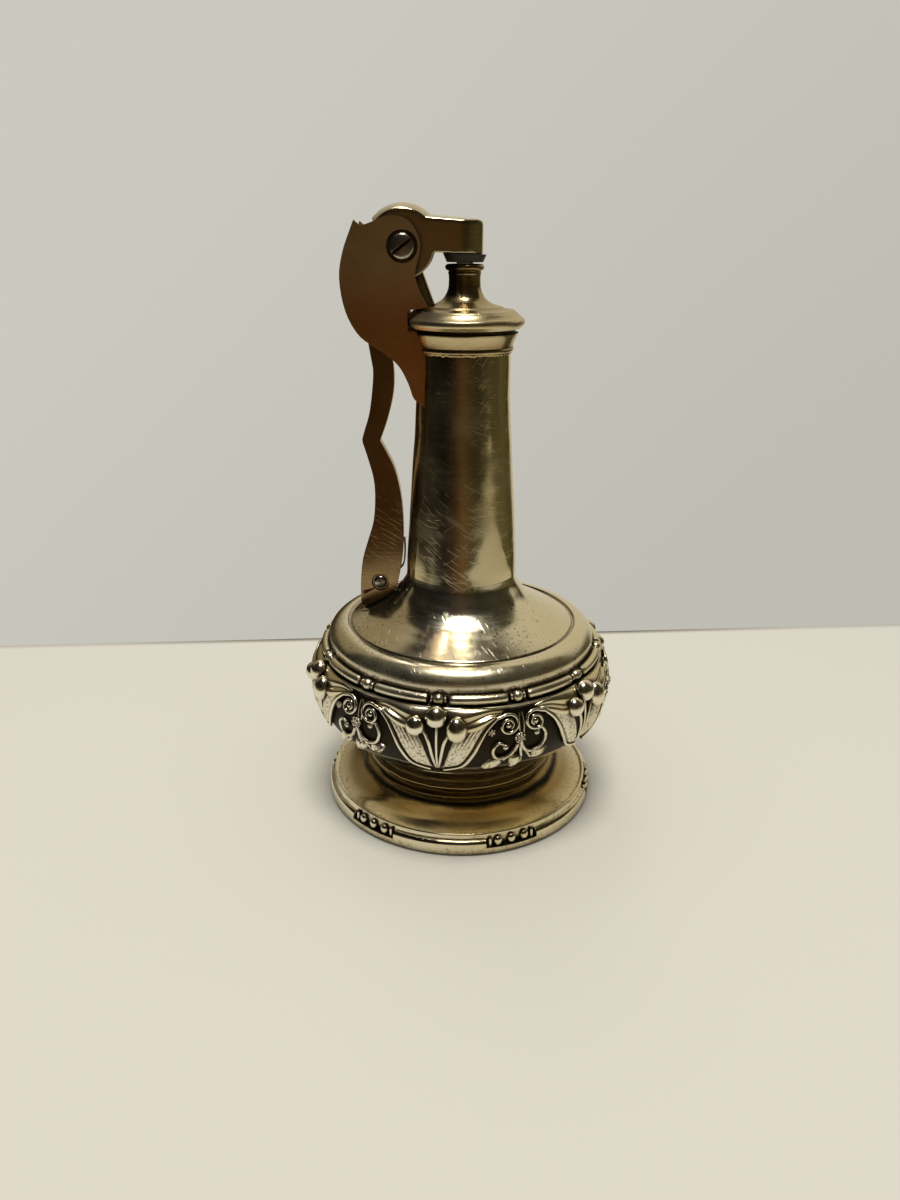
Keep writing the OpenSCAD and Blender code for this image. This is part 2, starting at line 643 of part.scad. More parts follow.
module snuffer_arm() {
    color(silver) difference() {
        union() {
            hood(hood_end);
            arm_bar(0);
            bar(pivot_x, pivot_z, disc_r, -arm_half_w, arm_half_w);
        }
        bar(pivot_x, pivot_z, cavity_r, -arm_in, arm_in);
        // The hood is open below, from its end round to the arm.
        for (a = [hood_end, 180, 270]) translate([pivot_x, -arm_in, pivot_z])
            rotate([0, -a, 0]) cube([disc_r + 1, 2 * arm_in, disc_r + 1]);
        arm_bar(arm_wall);
        bar(pivot_x, pivot_z, bush_r + running, -arm_half_w - 1, arm_half_w + 1);
    }
}
cup_z = nozzle_top_z + cup_gap;
module snuffer_cup() {
    color(silver) union() {
        difference() {
            translate([0, 0, cup_z]) cylinder(r1 = cup_mouth_r, r2 = cup_r, h = 1.45);
            translate([0, 0, cup_z - 1]) cylinder(r = wick_r + 0.95, h = 1.95);
            // The cup's top lies along the arm's underside.
            plate(-cup_r - 1, cup_r + 1) polygon(concat(shifted(arm_under, [0, -seat]),
                [[cup_r + 1, arm_under[1][1] - seat], [cup_r + 1, arm_bottom_z + 2],
                [pivot_x + 1, arm_bottom_z + 2]]));
        }
        translate([0, 0, cup_z + 1]) cylinder(r = 0.9, h = arm_h - 0.28);
    }
}
// Involute teeth: half a tooth's angle at radius rho, for a gear of pitch radius r.
pressure = 20;
backlash = 0.07;
function inv_deg(a) = tan(a) * 180 / PI - a;
function half_tooth(r, rho) = let(base = r * cos(pressure))
    (PI * gear_module / 2 - backlash) / (2 * r) * 180 / PI + inv_deg(pressure)
    - inv_deg(acos(min(base / rho, 1)));
function tooth(r, at, radii) = let(flank = [for (rho = radii) [rho, half_tooth(r, rho)]])
    concat([for (f = flank) f[0] * [cos(at - f[1]), sin(at - f[1])]],
        [for (f = reversed(flank)) f[0] * [cos(at + f[1]), sin(at + f[1])]]);
pinion_r = gear_module * pinion_teeth / 2;
pinion_radii = [pinion_r - 1.2 * gear_module, pinion_r * cos(pressure), pinion_r,
    pinion_r + 0.5 * gear_module, pinion_r + 0.9 * gear_module];
pivot_span = norm([pivot_x - pin_x, pivot_z - pin_z]);
mesh_angle = atan2(pivot_z - pin_z, pivot_x - pin_x);
sector_r = pivot_span - pinion_r;
pinion_y = arm_in - 2.2;
module arm_pinion() {
    color(brass) plate(pinion_y, arm_in) translate([pivot_x, pivot_z]) difference() {
        polygon([for (i = [0 : pinion_teeth - 1], p = tooth(pinion_r,
            mesh_angle + 180 + i * 360 / pinion_teeth, pinion_radii)) p]);
        circle(bush_r + running);
    }
}
wheel_y = -arm_in + 0.2;
ratchet_r = 3.3;
ratchet_t = 0.55;
module toothed_disc(r, teeth, depth, lean) {
    polygon([for (i = [0 : teeth - 1], t = [0, 1]) let(a = (i + t * lean) * 360 / teeth)
        (r - depth * t) * [cos(a), sin(a)]]);
}
module spark_wheel() {
    color(steel) plate(wheel_y, wheel_y + wheel_w) translate([pivot_x, pivot_z]) difference() {
        toothed_disc(wheel_r, wheel_teeth, 0.28, 0.5);
        circle(bush_r + running);
    }
}
module ratchet_disc() {
    color(steel) plate(wheel_y + wheel_w, wheel_y + wheel_w + ratchet_t)
        translate([pivot_x, pivot_z]) difference() {
            toothed_disc(ratchet_r, 14, 0.45, 0.12);
            circle(bush_r + running);
        }
}
module wheel_pawl() {
    y0 = wheel_y + wheel_w + 0.08;
    color(steel) plate(y0, y0 + 0.4) translate([pivot_x, pivot_z]) polygon(concat(
        arc([0, 0], cavity_r - 0.02, 60, 100, 6),
        arc([0, 0], cavity_r - 0.42, 100, 70, 5), [[1.5, 3.4], [2.35, 3.1]]));
}

// Lever, sector, lug and springs

lever_left = concat(
    curve([[-15.3, 89.9], [-16.2, 88.6], [-16.1, 85.6], [-15.4, 81.2], [-15.1, 78.4],
        [-15.8, 72.6], [-16.8, 69.2], [-17.25, 67.7]], 4),
    curve([[-17.2, 67.1], [-16.3, 64.1], [-15.45, 60.6], [-15.3, 57], [-15.7, 53],
        [-16.75, 49.5], [-17.8, 45.8], [-18.3, 41], [-18.3, 37.3]], 4));
lever_right = concat(
    curve([[-17.9, 37.05], [-16.1, 37.5], [-14.3, 38.5], [-12.7, 39.8], [-11.75, 41.1],
        [-11.05, 43.9], [-10.55, 47.5], [-10.4, 52.5], [-10.75, 57.8], [-11.7, 62.3],
        [-12.9, 65], [-14.15, 67.35]], 4),
    curve([[-14.15, 67.45], [-12.9, 70.9], [-11.85, 75], [-11.6, 78.4], [-11.95, 81.4],
        [-12.8, 84.2], [-13.25, 87], [-13.3, 88.8], [-14, 89.8]], 4));
slot_t = lug_t + 0.1;
module lever() {
    color(satin) difference() {
        plate(-lever_t / 2, lever_t / 2) polygon(concat(lever_left, lever_right));
        translate([pin_x - 5, -slot_t / 2, pin_z - 8]) cube([10, slot_t, 11.2]);
        bar(pin_x, pin_z, pin_r + running, -lever_t, lever_t);
        for (s = [-1, 1]) translate([pin_x, s * (lever_t / 2 - 0.25), pin_z])
            rotate([-90 * s, 0, 0]) cylinder(r = pin_head_r + 0.4, h = 1);
        for (p = rivet_points) bar(p[0], p[1], rivet_r, -lever_t, lever_t);
    }
}
rivet_r = 0.55;
rivet_points = [[-14.7, 85.2], [-14.6, 88.3]];
sector_y = lever_t / 2;
first_tooth = -1;
tooth_step = 180 * gear_module / sector_r;
last_tooth = ceil(lever_travel / tooth_step) + 1;
sector_radii = [sector_r - 0.46, sector_r - 0.15, sector_r + 0.12, sector_r + 0.28];
sector_teeth = [for (i = [last_tooth : -1 : first_tooth], p = reversed(tooth(sector_r,
    mesh_angle + (i + 0.5) * tooth_step, sector_radii))) p + [pin_x, pin_z]];
module toothed_sector() {
    color(satin) difference() {
        plate(sector_y, sector_y + sector_t) polygon(concat(sector_teeth,
            curve([[-8.9, 94.9], [-9.5, 93.3], [-11.6, 90.9], [-13.35, 87.6],
                [-13.7, 84.6]], 4),
            [[-14.5, 83.9], [-15.5, 84.5]],
            curve([[-15.8, 86.4], [-16, 89.2], [-15.8, 92.4], [-15.3, 95.2]], 4)));
        for (p = rivet_points) bar(p[0], p[1], rivet_r, 0, lever_t + sector_t);
    }
}
module sector_rivets() {
    color(steel) for (p = rivet_points) {
        bar(p[0], p[1], rivet_r - 0.01, -lever_t / 2, sector_y + sector_t);
        for (y = [-lever_t / 2 - 0.3, sector_y + sector_t]) bar(p[0], p[1], rivet_r + 0.35, y, y + 0.3);
    }
}
module shoulder_clear() {
    rotate_extrude() polygon(concat([[0, seam_z]], [[shoulder_edge_r, seam_z + 1]],
        [for (p = shoulder_outer) p + [0.02, 0.02]], [[0, column_base_z]]));
}
lug_r = 2.1;
flange_t = 0.25;
module lever_lug() {
    color(satin) difference() {
        union() {
            plate(-lug_t / 2, lug_t / 2) union() {
                translate([pin_x, pin_z]) circle(lug_r);
                polygon([[pin_x - lug_r, pin_z], [pin_x + lug_r, pin_z], [pin_x + 2.9, pin_z - 3.4],
                    [pin_x + 2.6, pin_z - 5], [pin_x - 3.2, pin_z - 6]]);
            }
            intersection() {
                translate([pin_x, 0, groove_z]) linear_extrude(8) scale([1.6, 1])
                    circle(2.4);
                rotate_extrude() polygon([for (p = concat(shoulder_dome,
                    [[column_base_r - 1, column_base_z], [column_base_r - 1, groove_z]]))
                    p + [0, flange_t]]);
            }
        }
        shoulder_clear();
        bar(pin_x, pin_z, pin_r + 0.005, -lug_t, lug_t);
    }
}
module lever_pin() {
    color(satin) {
        bar(pin_x, pin_z, pin_r, -lever_t / 2 + 0.2, lever_t / 2 - 0.2);
        for (s = [-1, 1]) translate([pin_x, s * (lever_t / 2 - 0.2), pin_z])
            rotate([-90 * s, 0, 0]) rotate_extrude() polygon(concat([[0, 0], [pin_head_r, 0]],
                curve([[pin_head_r, 0.12], [pin_head_r - 0.3, 0.38], [0, 0.5]])));
    }
}
leaf_w = 0.9;
leaf_path = curve([[-13.3, 42.6], [-12.2, 43.25], [-11.35, 43.95], [-10.7, 44.8], [-10.45, 46],
    [-10.36, 47.4], [-10.36, 48.6], [-10.41, 49.8]], 4);
module leaf_spring() {
    color(steel) plate(-leaf_w / 2, leaf_w / 2) difference() {
        polygon(concat(leaf_path, reversed(shifted(leaf_path, [leaf_t, 0]))));
        translate([pin_x, pin_z]) circle(lug_r + seat);
    }
}

foot();
panel_beads();
neck_ring();
bowl();
frieze_leaves();
frieze_berries();
frieze_scrolls();
rod_and_bead_moulding();
shoulder();
column();
collar();
burner_cap();
wick();
wadding();
base_plate();
filler_plug();
plug_washer();
front_cheek();
rear_cheek();
pivot_screw();
pivot_bush();
flint_tube();
flint();
flint_spring();
flint_plug();
lever_lug();
lever_pin();
leaf_spring();
snuffer_arm();
snuffer_cup();
arm_pinion();
wheel_pawl();
spark_wheel();
ratchet_disc();
lever();
toothed_sector();
sector_rivets();
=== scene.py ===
# %% [markdown]
# # A silver table lighter
# This scene dresses a finished construction of the lighter: a turned vase on a round foot, with a
# chased frieze, a squeeze lever and a hooded snuffer arm. The construction gives every piece its
# place and size. Here each piece gets the surface that a silversmith and a century of use gave it.

# %% Load the construction
import math

import bmesh
import bpy
import numpy as np
from mathutils import Matrix, Vector, noise


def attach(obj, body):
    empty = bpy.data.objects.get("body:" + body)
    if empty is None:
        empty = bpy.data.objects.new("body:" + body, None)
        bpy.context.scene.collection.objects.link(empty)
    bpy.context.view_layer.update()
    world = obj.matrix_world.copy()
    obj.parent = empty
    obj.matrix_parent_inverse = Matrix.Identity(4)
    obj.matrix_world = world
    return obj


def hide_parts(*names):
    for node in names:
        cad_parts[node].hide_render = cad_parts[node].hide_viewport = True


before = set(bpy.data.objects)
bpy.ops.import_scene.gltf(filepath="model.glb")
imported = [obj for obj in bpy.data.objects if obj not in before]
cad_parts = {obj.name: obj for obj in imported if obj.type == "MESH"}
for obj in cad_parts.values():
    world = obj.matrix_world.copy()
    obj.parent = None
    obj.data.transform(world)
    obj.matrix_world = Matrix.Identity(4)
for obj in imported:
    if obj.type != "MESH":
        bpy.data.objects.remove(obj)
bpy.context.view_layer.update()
MM = 0.001

# %% [markdown]
# ## Where the photographer stood
# The phone was close, about 15 cm in front of the lighter and level with its top, and it looked
# down by 22 degrees with a wide lens. A close wide lens makes the foot look small and shows the
# lid from above, so the camera's place matters as much as the shapes do.

# %% Camera
camera_back = 154.26 * MM
camera_height = 99.07 * MM
tilt, roll, yaw = (math.radians(angle) for angle in (21.671, 0.357, 0.766))
lens_mm = 27
sensor_mm = 36
nearest_seen = 5 * MM


def placed(name, data):
    """A new object in the scene."""
    made = bpy.data.objects.new(name, data)
    bpy.context.scene.collection.objects.link(made)
    return made


def photo_camera():
    """The photographer's camera: rolled a little, tilted down and turned by yaw."""
    camera = placed("camera", bpy.data.cameras.new("camera"))
    turn = (Matrix.Rotation(yaw, 4, "Z") @ Matrix.Rotation(math.pi / 2 - tilt, 4, "X")
            @ Matrix.Rotation(roll, 4, "Z"))
    camera.matrix_world = Matrix.Translation((0, -camera_back, camera_height)) @ turn
    camera.data.lens = lens_mm
    camera.data.sensor_width = sensor_mm
    camera.data.clip_start = nearest_seen
    return camera


bpy.context.scene.camera = photo_camera()
print("camera at", [round(c / MM, 1) for c in bpy.context.scene.camera.location], "mm")

# %% [markdown]
# ## Nodes in few words
# Every finish below is a small graph of shader nodes. One helper makes a node and fills its
# inputs, and the others give short names to the arithmetic that is needed most.

# %% Node helpers
def fill(tree, node, inputs):
    """Fills inputs, given by name or number: a socket is linked, any other value typed in."""
    for key, value in dict(inputs).items():
        if isinstance(value, bpy.types.NodeSocket):
            tree.links.new(value, node.inputs[key])
        else:
            node.inputs[key].default_value = value


def add(tree, kind, inputs=(), **settings):
    """Adds a node with its settings and inputs."""
    made = tree.nodes.new(kind)
    for name, value in settings.items():
        setattr(made, name, value)
    fill(tree, made, inputs)
    return made


def math_node(tree, operation, a, b=0.0, c=0.0):
    """Arithmetic of two values. MULTIPLY_ADD makes a * b + c."""
    return add(tree, "ShaderNodeMath", {0: a, 1: b, 2: c}, operation=operation).outputs[0]


def plus(tree, total, *values):
    """The sum of some values."""
    for value in values:
        total = math_node(tree, "ADD", total, value)
    return total


def times(tree, a, b):
    """A product."""
    return math_node(tree, "MULTIPLY", a, b)


def vector_node(tree, operation, a, b=(0.0, 0.0, 0.0), output="Vector"):
    """Vector arithmetic. The output is Value where the operation gives a number."""
    return add(tree, "ShaderNodeVectorMath", {0: a, 1: b}, operation=operation).outputs[output]


def parts_of(tree, vector):
    """A vector's outputs X, Y and Z."""
    return add(tree, "ShaderNodeSeparateXYZ", {0: vector}).outputs


def flattened(tree, vector):
    """A vector without its height."""
    return vector_node(tree, "MULTIPLY", vector, (1, 1, 0))


def mapped(tree, value, low, high, to_low=0.0, to_high=1.0):
    """Carries a value from one range to another, and holds it at the ends."""
    inputs = {"Value": value, "From Min": low, "From Max": high, "To Min": to_low, "To Max": to_high}
    return add(tree, "ShaderNodeMapRange", inputs).outputs[0]


def mixed(tree, share, a, b, blend="MIX"):
    """Mixes two colours."""
    return add(tree, "ShaderNodeMix", {0: share, 6: a, 7: b}, data_type="RGBA",
               blend_type=blend).outputs[2]


def rgb(red, green, blue):
    """A colour with full opacity."""
    return (red, green, blue, 1.0)


# %% [markdown]
# A bump only tilts the light on a surface. For marks finer than a hundredth of a millimetre
# that is enough.

# %% Finish helpers
def noise_node(tree, place, scale, detail, roughness=0.5):
    """Smooth noise between 0 and 1, with about scale waves to the metre."""
    inputs = {"Vector": place, "Scale": scale, "Detail": detail, "Roughness": roughness}
    return add(tree, "ShaderNodeTexNoise", inputs).outputs["Fac"]


def bump_node(tree, height, strength, distance, below=None):
    """A surface direction from a height, laid over the bump below it."""
    inputs = {"Height": height, "Strength": strength, "Distance": distance}
    if below is not None:
        inputs["Normal"] = below
    return add(tree, "ShaderNodeBump", inputs).outputs[0]


def blank_material(name):
    """A new material, its nodes, its shader and the place of a surface point in metres."""
    material = bpy.data.materials.new(name)
    material.use_nodes = True
    tree = material.node_tree
    place = add(tree, "ShaderNodeTexCoord").outputs["Object"]
    return material, tree, tree.nodes["Principled BSDF"], place


# %% [markdown]
# ## Stage and light
# The photo is plain: a sheet of pale paper on a table, another as a wall, and a lamp nearly
# overhead. Polished silver is a mirror, though, and what it shows is the room. So the room has
# two faces. For the camera and for soft light it is pale. For reflections it is the real room:
# black to the left, brown behind the photographer, olive to the right, a pale wall at the back
# that is dimmer to the left, and a sheet of paper that draws bright spires on the column.

# %% World
paper_wall = rgb(0.578, 0.565, 0.503)
shaded_wall = rgb(0.26, 0.21, 0.12)
lit_wall = rgb(0.60, 0.54, 0.40)
wall_y = 69.6 * MM
wall_slope = 0.088


def level_direction(tree, place):
    """The horizontal part of a direction, of length one, as its outputs X and Y."""
    return parts_of(tree, vector_node(tree, "NORMALIZE", flattened(tree, place)))


def dark_room(tree, place):
    """The room that only reflections see, from black at the left to olive at the right."""
    level = level_direction(tree, place)
    ramp = add(tree, "ShaderNodeValToRGB", {0: mapped(tree, level["X"], -1.0, 1.0)})
    stops = ((0.0, (0.010, 0.006, 0.002)), (0.18, (0.003, 0.002, 0.001)),
             (0.34, (0.040, 0.017, 0.004)), (0.50, (0.110, 0.056, 0.016)),
             (0.66, (0.062, 0.040, 0.010)), (0.80, (0.040, 0.034, 0.010)), (1.0, (0.10, 0.085, 0.035)))
    bands = ramp.color_ramp.elements
    while len(bands) < len(stops):
        bands.new(0.5)
    for band, (at, colour) in zip(bands, stops):
        band.position = at
        band.color = rgb(*colour)
    return ramp.outputs[0]


def room_world():
    """The pale room, and for glossy rays the real one, whose back wall is narrow low down."""
    world = bpy.data.worlds.new("room")
    world.use_nodes = True
    tree = world.node_tree
    tree.nodes.clear()
    place = add(tree, "ShaderNodeTexCoord").outputs["Generated"]
    parts = parts_of(tree, place)
    level = level_direction(tree, place)
    low = times(tree, mapped(tree, level["Y"], 0.74, 0.84), mapped(tree, level["X"], -0.15, 0.0))
    high = mapped(tree, parts["Y"], 0.30, 0.38)
    behind = mixed(tree, mapped(tree, parts["Z"], 0.08, 0.30), low, high)
    dimmed = mapped(tree, parts["Z"], -0.02, 0.08, 1.0, 0.3)
    front = mixed(tree, 1.0, dark_room(tree, place), dimmed, "MULTIPLY")
    back = mixed(tree, mapped(tree, parts["X"], -0.5, -0.1), shaded_wall, lit_wall)
    room = mixed(tree, behind, front, back)
    aslant = math_node(tree, "SUBTRACT", parts["Z"], parts["X"])
    shade = mapped(tree, aslant, -0.55, 0.35, 0.90, 1.04)
    wall = mixed(tree, 1.0, paper_wall, shade, "MULTIPLY")
    mirrored = add(tree, "ShaderNodeLightPath").outputs["Is Glossy Ray"]
    seen = mixed(tree, mirrored, wall, room)
    light = add(tree, "ShaderNodeBackground", {"Color": seen, "Strength": 1.0})
    add(tree, "ShaderNodeOutputWorld", {"Surface": light.outputs[0]})
    return world


bpy.context.scene.world = room_world()
bpy.context.scene.view_settings.view_transform = "Standard"
print("world:", bpy.context.scene.world.name)

# %% [markdown]
# The paper's corners were worked back from the spires: a ray from the camera that bounces off
# the upright column keeps its slope, so a height on the column gives a distance on the table.

# %% Floor
paper_corners = [(-0.150, -0.084), (0.251, -0.231), (0.561, -0.262), (0.292, -0.036),
                 (0.112, 0.075), (-0.193, 0.075)]
paper_near = rgb(0.65, 0.63, 0.585)
paper_far_shaded = rgb(0.40, 0.36, 0.27)
painted_gap_shadow = rgb(0.09, 0.07, 0.045)
floor_reach = 2.5
straight_wall = 0.3


def on_paper(tree, place):
    """1 on the sheet of paper and 0 beside it: a point is left of each of its edges."""
    share = 1.0
    ring = paper_corners[1:] + paper_corners[:1]
    for (x0, y0), (x1, y1) in zip(paper_corners, ring):
        inward = Vector((y0 - y1, x1 - x0, 0)).normalized()
        along = vector_node(tree, "DOT_PRODUCT", place, inward, "Value")
        edge = inward.x * x0 + inward.y * y0
        share = times(tree, mapped(tree, along, edge - 1 * MM, edge + 1 * MM), share)
    return share


def floor_mesh():
    """A large floor that ends where the wall's paper stands, a little aslant."""
    left_end, right_end = (wall_y + wall_slope * x for x in (-straight_wall, straight_wall))
    corners = [(-floor_reach, -floor_reach, 0), (floor_reach, -floor_reach, 0),
               (floor_reach, right_end, 0), (straight_wall, right_end, 0),
               (-straight_wall, left_end, 0), (-floor_reach, left_end, 0)]
    mesh = bpy.data.meshes.new("floor")
    mesh.from_pydata(corners, [], [range(len(corners))])
    return mesh


def paper_material():
    """Pale paper. Mirrored, it darkens with distance and ends at its real corners."""
    material, tree, shader, place = blank_material("paper")
    mirrored = add(tree, "ShaderNodeLightPath").outputs["Is Glossy Ray"]
    table = math_node(tree, "SUBTRACT", 1.0, on_paper(tree, place))
    # Painted shade: mirrored, the paper darkens with its distance from the lighter.
    distance = vector_node(tree, "LENGTH", place, output="Value")
    far = times(tree, mapped(tree, distance, 0.08, 0.16), mirrored)
    paper = mixed(tree, far, paper_near, paper_far_shaded)
    colour = mixed(tree, times(tree, table, mirrored), paper, dark_room(tree, place))
    parts = parts_of(tree, place)
    # Painted shadow: a dark line along the foot of the wall's paper, darkest near the lighter.
    run = math_node(tree, "MULTIPLY_ADD", parts["X"], -wall_slope, parts["Y"])
    near_wall = mapped(tree, run, wall_y - 2.4 * MM, wall_y - 0.2 * MM)
    sideways = math_node(tree, "ABSOLUTE", parts["X"])
    gap_shadow = times(tree, near_wall, mapped(tree, sideways, 0.045, 0.095, 0.9, 0.35))
    fill(tree, shader, {"Base Color": mixed(tree, gap_shadow, colour, painted_gap_shadow), "Roughness": 0.9,
                        "Specular IOR Level": 0.1})
    return material


floor = placed("floor", floor_mesh())
floor.data.materials.append(paper_material())
print("floor corners:", len(floor.data.vertices))

# %% [markdown]
# A warm lamp hangs nearly overhead, and a weak one behind it softens the shadow.

# %% Lamps
lamp_tint = (1.0, 0.96, 0.88)
lamp_aim = Vector((0, 0, 0.05))


def soft_lamp(name, place, width, length, watts):
    """An oval lamp that faces the lighter's middle."""
    lamp = bpy.data.lights.new(name, "AREA")
    lamp.shape = "ELLIPSE"
    lamp.size = width
    lamp.size_y = length
    lamp.energy = watts
    lamp.color = lamp_tint
    made = placed(name, lamp)
    made.location = place
    made.rotation_mode = "QUATERNION"
    made.rotation_quaternion = (lamp_aim - Vector(place)).to_track_quat("-Z", "Y")


soft_lamp("ceiling_lamp", (0.0, -0.10, 0.62), 0.19, 0.17, 2.1)
soft_lamp("far_lamp", (-0.10, 0.32, 0.62), 0.20, 0.20, 0.3)
print("lamps:", [light.name for light in bpy.data.lights])

# %% [markdown]
# ## Silver, old and polished
# Real silver is never one colour. It is bright where hands rub it, yellow and brown where
# sulphur from the air has reached it, and nearly black in the creases that a cloth can't clean.
# Ambient occlusion finds the creases, noise gives the blotches, and stretched noise the scratches.

# %% Colours and marks of silver
silver_bright = rgb(0.90, 0.86, 0.73)
silver_yellow = rgb(0.72, 0.62, 0.37)
silver_brown = rgb(0.28, 0.19, 0.08)
reflection_and_tarnish_brown = rgb(0.31, 0.21, 0.08)
silver_black = rgb(0.030, 0.024, 0.014)


def scratches(tree, place, stretch, scale, detail=2.0, turn=(0.0, 0.0, 0.0)):
    """Fine lines: noise whose coordinates are turned and stretched."""
    turned_way = add(tree, "ShaderNodeMapping", {"Vector": place, "Rotation": turn}).outputs[0]
    long_way = add(tree, "ShaderNodeMapping", {"Vector": turned_way, "Scale": stretch}).outputs[0]
    return noise_node(tree, long_way, scale, detail)


def stray_lines(tree, place):
    """Long scratches that a cloth or a coin left, aslant."""
    return scratches(tree, place, (22.0, 1.0, 1.0), 240.0, 1.0, (0.4, 0.9, 0.7))


def openness(tree, distance):
    """0 deep in a crease and 1 where nothing stands within the distance."""
    return add(tree, "ShaderNodeAmbientOcclusion", {"Distance": distance}, samples=6).outputs["AO"]


def over_range(tree, value, ends_mm, to_high=1.0):
    """Rises from 0 to to_high between two places given in millimetres."""
    return mapped(tree, value, ends_mm[0] * MM, ends_mm[1] * MM, 0.0, to_high)


def oxidised(tree, place, blotch, heights):
    """The black ground between two heights, with ragged limits."""
    low, high = heights
    ragged = math_node(tree, "MULTIPLY_ADD", blotch, 1.2 * MM, -0.6 * MM)
    height = plus(tree, parts_of(tree, place)["Z"], ragged)
    return times(tree, over_range(tree, height, (low - 0.2, low + 0.3)),
                 over_range(tree, height, (high + 0.3, high - 0.2)))


def painted_dark_side(tree, place, blotch, heights):
    """Painted dark reflection: black above a height on the nozzle's side towards the spark wheel."""
    parts = parts_of(tree, place)
    wheel_side = math_node(tree, "MULTIPLY_ADD", blotch, 1.0 * MM, parts["X"])
    return times(tree, over_range(tree, wheel_side, (-0.2, -0.9)),
                 over_range(tree, parts["Z"], heights))


# %% [markdown]
# One function makes every silver, and each part sets its own wear. The foot's dish is brown under
# the belly, a painted dark reflection of it, the belly's ground is black to set off the frieze,
# and a painted dark reflection blackens the nozzle on the wheel's side.

# %% Silver
def silver(name, tarnish, rough, mirror=1.0, patches=0.08, crease_mm=1.6, stipple=0.0,
           ground=None, brown=None, matt=None, specks=0.0, dark_side=None):
    """Old silver, yellower with more tarnish. patches is how rough its worn patches are.

    mirror above 1 lays a sharp gloss over the haze of rough. specks is how dark the stains
    along its creases are. In millimetres, it is black over the heights ground, painted black as
    a dark reflection on the wheel's side over the heights dark_side, brown over the radii brown,
    partly tarnish and partly a painted dark reflection, and matt over the radii matt.
    """
    material, tree, shader, place = blank_material(name)
    blotch = noise_node(tree, place, 90.0, 5.0, 0.6)
    cloud = noise_node(tree, place, 30.0, 2.0)
    hollow = math_node(tree, "SUBTRACT", 1.0, openness(tree, crease_mm * MM))
    radius = vector_node(tree, "LENGTH", flattened(tree, place), output="Value")

    yellow = mapped(tree, cloud, 0.62 - tarnish * 0.5, 0.80 - tarnish * 0.3, 0.15, 0.9)
    colour = mixed(tree, yellow, silver_bright, silver_yellow)
    edge = mapped(tree, hollow, 0.12, 0.45, 0.0, 0.55 + tarnish * 0.4)
    colour = mixed(tree, edge, colour, silver_brown)
    # Painted dark reflection, with some tarnish: brown between two radii, as on the foot's dish under
    # the belly.
    if brown:
        patchy = mapped(tree, cloud, 0.3, 0.6, 0.7, 1.0)
        patchy = times(tree, over_range(tree, radius, brown), patchy)
        colour = mixed(tree, patchy, colour, reflection_and_tarnish_brown)
    if specks:
        spot = plus(tree, times(tree, blotch, 0.55), times(tree, hollow, 0.6),
                    noise_node(tree, place, 1900.0, 2.0))
        colour = mixed(tree, mapped(tree, spot, 0.90, 0.98, 0.0, specks), colour, silver_brown)
    if stipple:
        grain = noise_node(tree, place, 2300.0, 3.0)
        colour = mixed(tree, mapped(tree, grain, 0.46, 0.38, 0.0, 0.75), colour, silver_brown)
    ragged = math_node(tree, "MULTIPLY_ADD", blotch, 0.35, 1.3)
    blacks = [mapped(tree, times(tree, hollow, ragged), 0.30, 0.75)]
    if ground:
        blacks.append(oxidised(tree, place, blotch, ground))
    # Painted dark reflection: black on the wheel's side of the nozzle, above a height.
    if dark_side:
        blacks.append(painted_dark_side(tree, place, blotch, dark_side))
    blackened = 0.0
    for share in blacks:
        colour = mixed(tree, share, colour, silver_black)
        blackened = math_node(tree, "MAXIMUM", blackened, share)
    if mirror > 1:
        fill(tree, shader, {"Coat Weight": 1.0, "Coat IOR": mirror, "Coat Roughness": 0.04})

    hair = scratches(tree, place, (1.0, 1.0, 14.0), 160.0)
    other = scratches(tree, place, (1.0, 20.0, 1.0), 260.0, 1.0, (0.8, 0.3, 0.5))
    finish = plus(tree, mapped(tree, hair, 0.45, 0.75, 0.0, 0.05),
                  mapped(tree, blotch, 0.35, 0.75, 0.0, patches), rough, times(tree, blackened, 0.35))
    if matt:
        finish = plus(tree, finish, over_range(tree, radius, matt, 0.16))
    marks = plus(tree, mapped(tree, stray_lines(tree, place), 0.66, 0.70, 0.0, -1.0),
                 mapped(tree, other, 0.66, 0.70, 0.0, -1.0),
                 mapped(tree, hair, 0.60, 0.68, 0.0, -0.4))
    bump = bump_node(tree, marks, 0.3, 0.02 * MM)
    if stipple:
        bump = bump_node(tree, grain, stipple, 0.06 * MM, bump)
    fill(tree, shader, {"Base Color": colour, "Metallic": 1.0, "Roughness": finish, "Normal": bump})
    return material


vase_silver = silver("vase_silver", tarnish=1.0, rough=0.04, patches=0.24)
dome_silver = silver("dome_silver", tarnish=0.75, rough=0.09, mirror=2.0, patches=0.20,
                     matt=(17.0, 26.0), specks=0.8)
# The foot's brown under the belly is a painted dark reflection of the belly.
foot_silver = silver("foot_silver", tarnish=0.55, rough=0.09, patches=0.16, crease_mm=2.0,
                     ground=(5.35, 6.2), brown=(24.0, 20.5), specks=0.6)
bowl_silver = silver("bowl_silver", tarnish=0.55, rough=0.14, ground=(17.9, 28.9))
# The arm's brown is a painted dark reflection of the dark room in front of it.
arm_silver = silver("arm_silver", tarnish=0.55, rough=0.12, mirror=1.8, brown=(45.0, -15.0))
berry_silver = silver("berry_silver", tarnish=0.40, rough=0.14, crease_mm=1.2)
lobe_silver = silver("lobe_silver", tarnish=0.85, rough=0.18)
bead_silver = silver("bead_silver", tarnish=0.45, rough=0.14, crease_mm=0.9)
# The collar's brown low down is partly tarnish and partly a painted dark reflection.
collar_silver = silver("collar_silver", tarnish=0.90, rough=0.14, crease_mm=1.4, brown=(9.9, 7.4))
